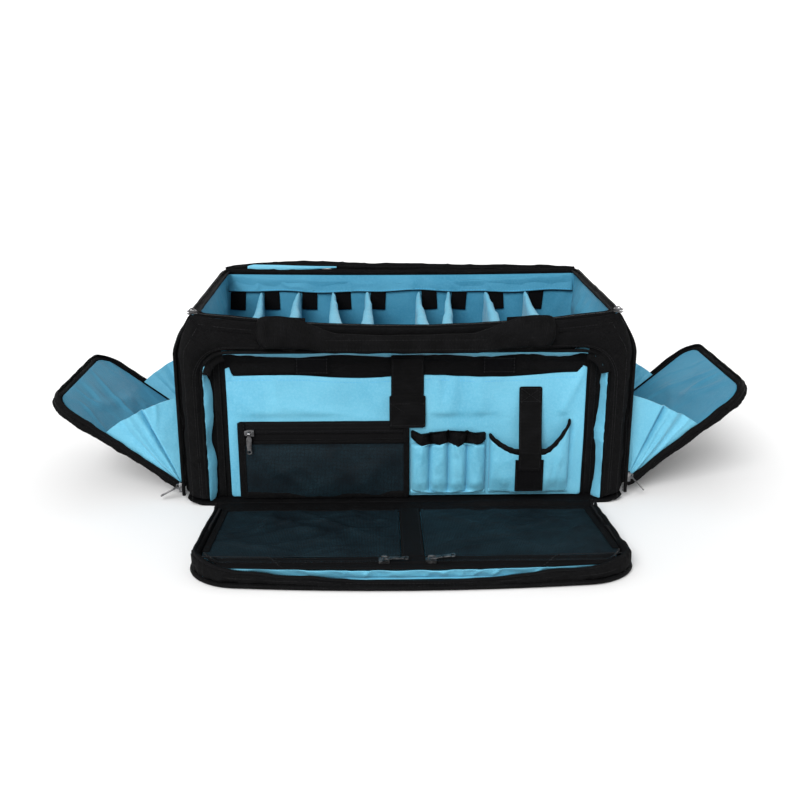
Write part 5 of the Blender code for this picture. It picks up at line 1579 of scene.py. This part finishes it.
def make_device_pocket():
    pocket = grid_cloth("device_pocket", "device_pocket_cloth", 0.005, "xz", 1)

    def folds(p):
        inside = fade(p[:, 0], 0.099, 0.104) * fade(-p[:, 0], -0.191, -0.186)
        calm = near_strap(p, 0.126, 0.163)
        w = 0.0009 * creases(p, (0.016, 0.03, 0.060), 65, 0.2) + 0.0006 * lumps(p, 0.014, 66)
        w += 0.0016 * fold_line(p, (0.168, -0.135, 0.060), (0.166, -0.135, 0.016), 0.0035)
        w += 0.0015 * fold_line(p, (0.184, -0.130, 0.080), (0.172, -0.135, 0.020), 0.0035)
        w += 0.0014 * fold_line(p, (0.106, -0.130, 0.060), (0.118, -0.135, 0.020), 0.0045)
        w -= 0.0012 * fold_line(p, (0.112, -0.130, 0.062), (0.112, -0.135, 0.016), 0.0045)
        return -w * inside * (1 - calm)

    press(pocket, folds)
    press(
        pocket,
        lambda p: (p[:, 1] + 0.1240) * -0.55 * fade(-p[:, 2], -0.034, -0.012) * (p[:, 1] < -0.1245)
        * (1 - 0.6 * near_strap(p, 0.126, 0.163))
    )
    finish_piece(pocket, "bag_body", LINING, ["device_pocket"], smooth=60)
    band = grid_cloth("device_elastic", "device_elastic_edge", 0.0035, "x", 1)
    roughen(band, lambda p: 0.0010 + 0.0003 * np.sin(p[:, 0] / 0.0012))
    finish_piece(band, "bag_body", RIBBING, ["device_elastic"], smooth=60)
    foot = [(x, -0.1250, 0.0135) for x in np.linspace(0.098, 0.192, 30)]
    hem = ribbon(
        "device_pocket_hem", foot, FORWARD, 0.0050, 0.0014, columns=4, rows=60, crown=0.0010
    )
    finish_piece(hem, "bag_body", LINING)
    patch = grid_cloth("device_loop_patch", "device_loop_tape", 0.006, "xz", 0)
    press(patch, lambda p: 0.0003 * lumps(p, 0.010, 67))
    finish_piece(patch, "bag_body", PILE, ["device_loop_patch"])
    box_stitch(
        "device_loop_seam", "bag_body",
        [
            (0.1295, -0.1385, 0.0185), (0.1595, -0.1385, 0.0185), (0.1595, -0.1385, 0.0430),
            (0.1295, -0.1385, 0.0430)
        ],
        cross=False
    )


def make_straps():
    for node, name, low, high, sewn in (
        ("device_strap", "device_strap_webbing", 0.131, 0.158, (0.1245, 0.1395)),
        ("centre_strap", "centre_strap_webbing", -0.017, 0.021, None)
    ):
        strap = grid_cloth(node, name, 0.004, "xz", 1)
        press(strap, lambda p: 0.0003 * lumps(p, 0.012, 68))
        if not sewn:
            press(strap, lambda p: -0.0016 * fade(-p[:, 2], -0.128, -0.110))
            press(strap, lambda p: -0.0085 * fade(-p[:, 2], -0.130, -0.104), 2)
        lay_grain(strap, turned=True)
        finish_piece(strap, node, RIBBING, [node])
        for sign, x in ((-1, low + 0.0022), (1, high - 0.0022)):
            z_low, z_high = (0.048, 0.119) if sewn else (0.135, 0.172)
            y = -0.141 if sewn else -0.134
            sew_onto(
                f"{node}_edge_{'left' if sign < 0 else 'right'}", node, strap,
                [(x, y, z_low), (x, y, z_high)], BACKWARD
            )
        if sewn:
            corners = [
                (low + 0.003, -0.130, sewn[0]), (high - 0.003, -0.130, sewn[0]),
                (high - 0.003, -0.130, sewn[1]), (low + 0.003, -0.130, sewn[1])
            ]
        else:
            corners = [
                (low, -0.138, 0.0970), (high, -0.138, 0.0970), (high, -0.138, 0.1225),
                (low, -0.138, 0.1225)
            ]
        corners = [
            onto(strap, [corner, (corner[0], corner[1], corner[2] + 0.0002)], BACKWARD, 0.0002)[0]
            for corner in corners
        ]
        box_stitch(f"{node}_box", node, corners)
        tip = 0.0460 if sewn else 0.0952
        end = onto(
            strap, [(low + 0.001, -0.138, tip), (high - 0.001, -0.138, tip)], BACKWARD, 0.0002
        )
        tape(f"{node}_end_binding", node, end, FORWARD, 0.0032, 0.0006, TAPE)


# ---------------------------------------------------------------- front flap


def flap_edge(inset=0.0, low=-0.164):
    """The flap's edge from the hinge round the free edge and back, drawn in by an inset."""
    corners = points_of(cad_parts["front_flap_rim"])[:, :2]
    corners = corners[np.lexsort((corners[:, 1], corners[:, 0]))]

    def hull(points):
        line = []
        for x, y in points:
            while len(line) > 1:
                (ax, ay), (bx, by) = line[-2:]
                if (bx - ax) * (y - ay) - (by - ay) * (x - ax) > 1e-9:
                    break
                line.pop()
            line.append((x, y))
        return line

    line = hull([tuple(p) for p in corners])
    left = min(corners[:, 0])
    line = [(left, low)] + [p for p in line if p[1] < low - 0.002] + [(-left, low)]
    line = np.array([(x, y, 0.0) for x, y in line])
    path, _, across, _ = path_frames(ease(line, 200), UPWARD)
    return path + across * inset


def make_front_flap():
    panel = grid_cloth("front_flap_panel", "flap_board", 0.010, "xy", 1)
    roughen(panel, lambda p: 0.0003 * lumps(p, 0.03, 71) * fade(p[:, 2], 0.001, 0.004))
    finish_piece(panel, "front_flap", CANVAS, ["front_flap_panel"])
    rim = grid_cloth("front_flap_rim", "flap_rim", 0.006, "xy", 1)
    press(
        rim,
        lambda p: -0.0021 * (1 - (p[:, 0] / 0.215) ** 2) * fade(-p[:, 1], 0.318, 0.330)
        * fade(p[:, 2], 0.0056, 0.0075),
        2
    )
    press(
        rim,
        lambda p: -0.0030 * np.clip(1 - (p[:, 0] / 0.200) ** 2, 0, 1)
        * fade(-p[:, 1], 0.3355, 0.3400) * fade(-p[:, 2], -0.0085, -0.0060)
    )
    press(
        rim,
        lambda p: (
            0.0014 * lumps(p, (0.034, 0.034, 1), 72) + 0.0008 * lumps(p, (0.012, 0.012, 1), 73)
        ) * fade(p[:, 2], 0.006, 0.010),
        2
    )
    roughen(rim, lambda p: 0.0007 * creases(p, (0.022, 0.022, 0.008), 74, 0.1))
    finish_piece(rim, "front_flap", CANVAS, ["front_flap_rim"])
    edge = flap_edge()
    pipe(
        "flap_lower_piping", "front_flap",
        [
            (x, y - 0.0030 * max(0, 1 - (x / 0.200) ** 2) * (y < -0.325), 0.0030) for x, y,
            _ in flap_edge(0.0006)
        ],
        0.0026
    )
    top = onto(
        rim, [(x, y, 0.016) for x, y, _ in flap_edge(0.0032)], DOWNWARD, 0.0004, spacing=0.003
    )
    pipe("flap_upper_piping", "front_flap", top, 0.0019, TAPE)
    coil = onto(
        rim, [(x, y, 0.016) for x, y, _ in flap_edge(0.0068)], DOWNWARD, 0.0005, spacing=0.003
    )
    zip_run("flap_rim_coil", "front_flap", coil, UPWARD, width=0.0030)
    waist = [
        (x, y, 0.0062 + 0.45 * (z - 0.0062)) for (x, y, _),
        z in zip(ease(edge, len(top)), np.array(top)[:, 2])
    ]
    sew("flap_rim_seam", "front_flap", [(x, y, z) for x, y, z in waist], None, standing=UPWARD)
    lining = grid_cloth("front_flap_lining", "flap_lining", 0.010, "xy", 1)
    press(lining, lambda p: 0.0005 * lumps(p, 0.03, 75), 2)
    finish_piece(lining, "front_flap", LINING, ["front_flap_lining"])

    pulls = {
        "left": [
            ((-0.200, -0.176), (-0.110, -0.225)),
            ((-0.130, -0.172), (-0.030, -0.260)),
            ((-0.070, -0.172), (-0.015, -0.215)),
            ((-0.200, -0.262), (-0.120, -0.292)),
            ((-0.150, -0.172), (-0.160, -0.250)),
        ],
        "right": [
            ((0.020, -0.176), (0.085, -0.235)),
            ((0.050, -0.172), (0.150, -0.215)),
            ((0.205, -0.200), (0.150, -0.285)),
            ((0.130, -0.172), (0.190, -0.240)),
            ((0.030, -0.290), (0.070, -0.225)),
        ],
    }
    for side, seed in (("left", 76), ("right", 77)):
        net = grid_cloth(f"flap_mesh_{side}", f"flap_net_{side}", 0.0055, "xy", 1)
        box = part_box(f"flap_mesh_{side}")
        low_x, high_x = box[0][0], box[1][0]

        def sag(p):
            t = np.clip((p[:, 0] - low_x) / (high_x - low_x), 0, 1)
            s = np.clip((p[:, 1] + 0.3033) / 0.1336, 0, 1)
            inner = np.sin(np.pi * t) ** 0.5 * np.sin(np.pi * s) ** 0.5
            w = (
                0.0016 * lumps(p * [1, 1, 0], 0.045, seed)
                + 0.0022 * creases(p[:, [0, 2, 1]], (0.050, 0.05, 0.016), seed, 0.35)
            )
            for (ax, ay), (bx, by) in pulls[side]:
                flat = p * [1, 1, 0]
                w += 0.0026 * fold_line(flat, (ax, ay, 0), (bx, by, 0), 0.0055)
            return (w + 0.0012) * inner

        press(net, sag, 2)
        finish_piece(net, "front_flap", MESH, [f"flap_mesh_{side}"])
        back = [(x, -0.1705, 0.02) for x in np.linspace(low_x + 0.004, high_x - 0.004, 40)]
        tape(
            f"flap_{side}_hinge_binding", "front_flap", onto(net, back, DOWNWARD, 0.0006), UPWARD,
            0.0080, 0.0010, CANVAS
        )
        outer = low_x if side == "left" else high_x
        sign = -1 if side == "left" else 1
        edge_line = [(outer - sign * 0.0035, y, 0.03) for y in np.linspace(-0.174, -0.290, 30)]
        tape(
            f"flap_{side}_side_binding", "front_flap", onto(net, edge_line, DOWNWARD, 0.0007),
            UPWARD, 0.0070, 0.0010, CANVAS
        )

    band = grid_cloth("flap_zip_band", "flap_zip_tape", 0.005, "xy", 1)
    ends = lambda p: 0.0034 * fade(np.abs(p[:, 0]), 0.188, 0.206) * fade(-p[:, 1], 0.290, 0.306)
    press(
        band,
        lambda p: ends(p)
        + 0.0005 * lumps(p, (0.03, 0.012, 1), 78) * fade(np.abs(p[:, 0]), 0.03, 0.05),
        2
    )
    finish_piece(band, "front_flap", TAPE, ["flap_zip_band"])
    for side, low_x, high_x in (("left", -0.203, -0.0335), ("right", 0.0275, 0.203)):
        line = [(x, -0.3176, 0.03) for x in np.linspace(low_x, high_x, 60)]
        zip_run(
            f"flap_{side}_coil", "front_flap", onto(band, line, DOWNWARD, -0.0002), UPWARD,
            width=0.0033
        )
        for name, y in (("far", -0.3065), ("far_inner", -0.3120), ("near", -0.3285)):
            sew_onto(
                f"flap_{side}_{name}_seam", "front_flap", band,
                [
                    (x, y + (0.0040 * (abs(x) / 0.203) ** 3 if name == "near" else 0), 0.03)
                    for x in np.linspace(low_x, high_x, 60)
                ],
                DOWNWARD
            )
    for x in (-0.0065, 0.0125):
        sew_onto(
            f"flap_centre_seam_{'left' if x < 0 else 'right'}", "front_flap", band,
            [(x, -0.174, 0.03), (x, -0.300, 0.03)], DOWNWARD
        )
    points = points_of(band)
    lip = []
    for x in np.linspace(-0.203, 0.203, 110):
        close = points[np.abs(points[:, 0] - x) < 0.0035]
        lip.append(tuple(close[close[:, 1].argmin()] * [0, 1, 1] + [x, 0.0003, 0.0004]))
    pipe("flap_band_piping", "front_flap", ease(lip, 110), 0.0011, TAPE)

    # the blue gusset that stands under the zip band, drawn out to both corners
    def bellows_place(u, v):
        x = -0.2085 + 0.417 * u
        bow = 0.010 * (x / FLAP_HALF) ** 2
        high = 0.0158 + 0.0034 * fade(np.abs(x), 0.188, 0.206)
        high = high - 0.0075 * fade(np.abs(x), 0.188, 0.2085)
        z = 0.0071 + (high - 0.0071) * v
        y = (
            -0.3278 + bow - 0.0040 * v * (1 - 0.6 * (x / 0.21) ** 2)
            + 0.0045 * fade(np.abs(x), 0.17, 0.2085)
        )
        place = np.stack([x, y, z], 1)
        lean = (
            creases(place, (0.015, 0.05, 0.030), 79, -0.75) * 0.0016
            + 0.0009 * np.sin(x / 0.0065 + z / 0.0045)
        )
        place[:, 1] -= lean * np.sin(np.pi * np.clip(0.15 + 0.7 * v, 0, 1))
        return place

    bellows = cloth_grid("flap_bellows_cloth", 200, 10, bellows_place, 0.0010, finer=1)
    finish_piece(bellows, "front_flap", LINING, ["flap_bellows"], smooth=60)

    def fold(u, v):
        rise = 0.0010 + 0.0050 * fade(u, 0.60, 0.72) * (1 - 0.5 * fade(u, 0.86, 1.0))
        z = 0.0049 + rise * np.sin(np.pi * np.clip(v * 1.15, 0, 1)) + 0.0004 * np.sin(u * 90)
        return np.stack([-0.214 + 0.428 * u, -0.1405 - 0.0245 * v, z], 1)

    strip = cloth_grid("flap_fold_cloth", 90, 14, fold, 0.0009)
    finish_piece(strip, None, CANVAS)
    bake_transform(strip)


# ---------------------------------------------------------------- end pockets


def make_end_pockets():
    for side, sign, opened in (("left", -1, 53.0), ("right", 1, 49.0)):
        body = f"{side}_end_flap"
        turn = math.radians(opened)
        up_flap = np.array([sign * math.sin(turn), 0, math.cos(turn)])
        outward = np.array([sign * math.cos(turn), 0, -math.sin(turn)])
        hinge = np.array([sign * END_HINGE_X, 0, END_HINGE_Z])
        lining = grid_cloth(f"{side}_end_flap_lining", f"{side}_flap_lining", 0.005, "xy", 1)
        behind = float(((points_of(lining) - hinge) @ outward).max()) + 0.0005
        panel = pad(
            f"{side}_end_flap_panel", f"{side}_flap_pad", 0.004, 0.0006, pressure=0.8, cap=0.003
        )
        points, normals = points_of(panel), normals_of(panel)
        reach = (points - hinge) @ up_flap
        outer = fade(normals @ outward, -0.2, 0.6)
        points += outward * (outer * 0.0042 * fade(reach, 0.035, 0.150))[:, None]
        put_points(panel, points)
        roughen(
            panel,
            lambda p: 0.0009 * creases(p, (0.030, 0.035, 0.030), 81 + sign, 0.4)
            + 0.0005 * lumps(p, 0.012, 82)
        )
        use(panel, "SUBSURF", levels=1, render_levels=1)
        # the filling stays behind the lining
        points = points_of(panel)
        reach, depth, across = (
            (points - hinge) @ up_flap, (points - hinge) @ outward, np.abs(points[:, 1])
        )
        covered = (
            fade(reach, 0.003, 0.0085) * fade(-reach, -0.1835, -0.1785)
            * fade(-across, -0.1055, -0.1018)
        )
        points += outward * (np.maximum(behind - depth, 0) * covered)[:, None]
        put_points(panel, points)
        finish_piece(panel, body, CANVAS, [f"{side}_end_flap_panel"])

        def flap_point(y, r, deep=0.0):
            return tuple(
                float(value)
                for value in hinge + up_flap * r + outward * deep + np.array([0, y, 0])
            )

        def give_way(*pieces):
            """Gives each of these pieces its own copy of its mesh."""
            for piece in pieces:
                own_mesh(piece)

        give_way(panel)

        half, length, corner = 0.1065, 0.1845, 0.034
        outline = [(-half, 0.006), (-half, length - corner)]
        outline += [
            (-half + corner * (1 - math.cos(a)), length - corner * (1 - math.sin(a)))
            for a in np.radians(range(10, 91, 10))
        ]
        outline += [(y, length) for y in np.linspace(-half + corner, half - corner, 20)[1:-1]]
        outline += [(-y, r) for y, r in reversed(outline[:11])]
        inner = onto(
            panel, [flap_point(y, r, -0.003) for y, r in outline], outward, 0.0003, spacing=0.003
        )
        give_way(zip_run(f"{side}_flap_coil", body, inner, tuple(-outward), width=0.0032))
        centre = flap_point(0, 0.095, 0.0035)
        roll = onto(
            panel,
            [flap_point(y * 1.08, (r - 0.09) * 1.08 + 0.09, 0.0035) for y, r in outline[1:-1]],
            None, -0.0018, spacing=0.003, centre=centre
        )
        give_way(pipe(f"{side}_flap_binding", body, roll, 0.0036))
        centre = flap_point(0, 0.095, 0.0085)
        outer = onto(
            panel,
            [flap_point(y * 1.08, (r - 0.09) * 1.08 + 0.09, 0.0085) for y, r in outline[6:-6]],
            None, -0.0010, spacing=0.003, centre=centre
        )
        give_way(pipe(f"{side}_flap_outer_piping", body, outer, 0.0020))
        # the zip tape stands up round the open flap
        middle = np.array(flap_point(0, 0.095, -0.003))
        stand = [tuple(middle + (np.array(p) - middle) * 1.022 - outward * 0.0020) for p in inner]
        upright = tube(
            f"{side}_flap_zip_tape", stand, spread(stand, [0.0070] * len(stand)),
            spread(stand, [0.0028] * len(stand)), standing=tuple(-outward), spacing=0.003, sides=12
        )
        roughen(upright, lambda p: 0.0005 * lumps(p, 0.013, 87))
        finish_piece(upright, body, CANVAS, smooth=60)
        give_way(upright)

        def soft(p):
            reach = (p - hinge) @ up_flap
            inner = (
                np.sin(np.pi * np.clip((reach - 0.009) / 0.170, 0, 1)) ** 0.4
                * np.sin(np.pi * np.clip((p[:, 1] + 0.1014) / END_LINING_WIDE, 0, 1)) ** 0.4
            )
            flat = np.stack([p[:, 1], np.zeros(len(p)), reach], 1)
            w = (
                0.0024 * lumps(flat, 0.050, 83 + sign)
                + 0.0022 * creases(flat, (0.020, 0.05, 0.070), 84 + sign, 0.5 * sign)
            )
            w += (
                0.0020 * fold_line(flat, (-0.090, 0, 0.150), (0.040, 0, 0.110), 0.009)
                + 0.0018 * fold_line(flat, (-0.070, 0, 0.080), (0.060, 0, 0.130), 0.010)
            )
            return np.maximum(w + 0.0010, 0.0002) * inner

        points = points_of(lining)
        put_points(lining, points - outward * soft(points)[:, None])
        # the upturned lining takes the darker copy of the blue lining: painted shade, as it faces
        # up and inward away from the light
        finish_piece(lining, body, SHADED_LINING, [f"{side}_end_flap_lining"])
        give_way(lining)

        for place, end in (("front", -1), ("back", 1)):
            gusset = make_gusset(side, sign, place, end, turn)
            finish_piece(
                gusset, None, LINING, [f"{side}_gusset_{place}"], smooth=60
            )
            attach(gusset, "bag_body")
            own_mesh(gusset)

        def fold(u, v):
            z = 0.0125 + 0.0022 * u + 0.0004 * np.sin(v * 70)
            return np.stack([sign * (0.2625 + 0.0095 * u), -0.104 + 0.208 * v, z], 1)

        strip = cloth_grid(f"{side}_fold_cloth", 8, 60, fold, 0.0009)
        finish_piece(strip, None, CANVAS)
        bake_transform(strip)


def make_gusset(side, sign, place, end, turn):
    """The folding side of an end pocket: a fan of cloth creased down its middle."""
    seed = 85 + sign + end

    def fan(u, v):
        # u runs from the frame to the flap, v from the fold up
        angle = turn * u
        reach = 0.007 + (0.1128 - 0.007) * v * (1 - 0.045 * np.sin(np.pi * u))
        lift = 0.0009 * u
        x = sign * (0.2655 + reach * np.sin(angle) - lift * np.cos(angle))
        z = 0.012 + reach * np.cos(angle) + lift * np.sin(angle)
        crease = 0.45
        across = np.where(u < crease, u / crease, (1 - u) / (1 - crease))
        out = 0.0105 * across**1.1 * (0.12 + 0.88 * v)
        flat = np.stack([u * 0.1, np.zeros_like(u), v * 0.1], 1)
        out -= 0.0085 * np.exp(-(((u - crease) / 0.030) ** 2)) * fade(v, 0.05, 0.35)
        out += 0.0012 * creases(flat, (0.017, 0.05, 0.060), seed, 0.25) * np.sin(np.pi * u) ** 0.5
        out += 0.0034 * np.exp(-(((u - 0.62 - 0.12 * (1 - v)) / 0.05) ** 2)) * fade(v, 0.0, 0.6)
        out -= 0.0024 * np.exp(-(((u - 0.74 - 0.10 * (1 - v)) / 0.05) ** 2)) * fade(v, 0.0, 0.6)
        return np.stack([x, end * (0.1055 + np.maximum(out, 0.0)), z], 1)

    return cloth_grid(f"{side}_bellows_{place}", 64, 40, fan, 0.0012, finer=0)


# ---------------------------------------------------------------- handles and metal


def make_handles():
    for side, out, top in (("front", -1, 0.2275), ("back", 1, 0.120)):
        near, far, half = 0.1399, 0.1528, 0.152
        up = 0.0055 if side == "front" else 0.0
        knots = [
            (-0.113, near, top - 0.018, 0.036, 0.0026, 0),
            (-0.140, near, top - 0.018 + up * 0.3, 0.036, 0.0026, 0)
        ]
        for a in range(0, 181, 15):
            t = math.radians(a)
            puff = 0.0045 * math.sin(t) ** 0.5 if 0 < a < 180 else 0.0004
            rise = up * (0.3 + 0.7 * a / 180)
            knots.append(
                (
                    -half - 0.0100 * math.sin(t),
                    (near + far) / 2 - (far - near) / 2 * math.cos(t), top - 0.018 + rise,
                    0.0365 - 0.0105 * math.sin(t) ** 4, 0.0030, puff * 0.6
                )
            )
        knots += [
            (-0.142, far + 0.0004, top - 0.0182 + up, 0.0370, 0.0034, 0.0020),
            (-0.128, far + 0.0004, top - 0.0186 + up * 0.9, 0.0350, 0.0040, 0.0022),
            (-0.112, far, top - 0.0208 + up * 0.6, 0.0310, 0.0050, 0.0012),
            (-0.096, far, top - 0.0240 + up * 0.3, 0.0260, 0.0060, 0.0004),
            (-0.078, far, top - 0.0262, 0.0225, 0.0064, 0),
            (-0.040, far, top - 0.0270, 0.0210, 0.0066, 0),
            (0.0, far, top - 0.0272, 0.0205, 0.0066, 0),
        ]
        knots += [
            (-x, y, z, high, thick, crown) for x, y, z, high, thick, crown in reversed(knots[:-1])
        ]
        path = [(x, out * y, z) for x, y, z, _, _, _ in knots]
        crown = spread(path, [(1 if out < 0 else -1) * k[5] for k in knots])
        grip = tube(
            f"{side}_grip", path, spread(path, [k[3] for k in knots]),
            spread(path, [k[4] for k in knots]), crown=crown, spacing=0.0006, sides=20, square=0.5,
            ribs=0.00028
        )
        press(
            grip, lambda p: 0.0009 * lumps(p * [1, 0, 1], 0.022, 91) * (np.abs(p[:, 1]) > 0.146), 2
        )
        finish_piece(
            grip, f"{side}_handle", RIBBING, [f"{side}_handle"], smooth=60
        )
        for name, height in (("upper", 0.0055), ("lower", -0.0055)):
            run = onto(
                grip,
                [(x, out * 0.160, top - 0.0272 + height) for x in np.linspace(-0.088, 0.088, 40)],
                (0, -out, 0), 0.0001
            )
            sew(f"{side}_grip_{name}_seam", f"{side}_handle", run, (0, out, 0))
        # the webbing sewn to the wall under each loop, cut to a point
        drop = 0.0405 if side == "front" else 0.050
        for end, sign in SIDES:
            tip = sign * (0.130 if sign < 0 else 0.135)

            def pointed(u, v):
                x = sign * (0.0965 + 0.0740 * u)
                share = np.where(
                    sign * x < abs(tip), (sign * x - 0.0965) / (abs(tip) - 0.0965),
                    (0.1705 - sign * x) / (0.1705 - abs(tip))
                )
                low = top - 0.0235 - (drop - 0.0235) * np.clip(share, 0, 1) ** 0.9
                high = top - 0.0105
                z = low + (high - low) * v
                y = 0.1388 + 0.0004 * np.sin(np.pi * v) + 0.0004 * np.sin(u * 9)
                return np.stack([x, out * y, z], 1)

            webbing = cloth_grid(f"{side}_{end}_riser", 40, 18, pointed, 0.0014, finer=1)
            finish_piece(webbing, "bag_body", RIBBING)
            rows = []
            for low_u, high_u in ((0.07, 0.44), (0.56, 0.93)):
                line = pointed(np.linspace(low_u, high_u, 12), np.full(12, 0.10))
                rows.append(onto(webbing, [tuple(p) for p in line], (0, -out, 0), 0.0001))
            for number, run in enumerate(rows):
                sew(f"{side}_{end}_riser_seam_{number + 1}", "bag_body", run, (0, out, 0))


def finish_metal():
    for name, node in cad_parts.items():
        if name.endswith(("_slider", "_pull")):
            node.data.materials.clear()
            node.data.materials.append(METAL)


make_shell()
make_main_compartment()
make_rim()
make_lid()
make_organiser()
make_front_flap()
make_end_pockets()
make_handles()
finish_metal()
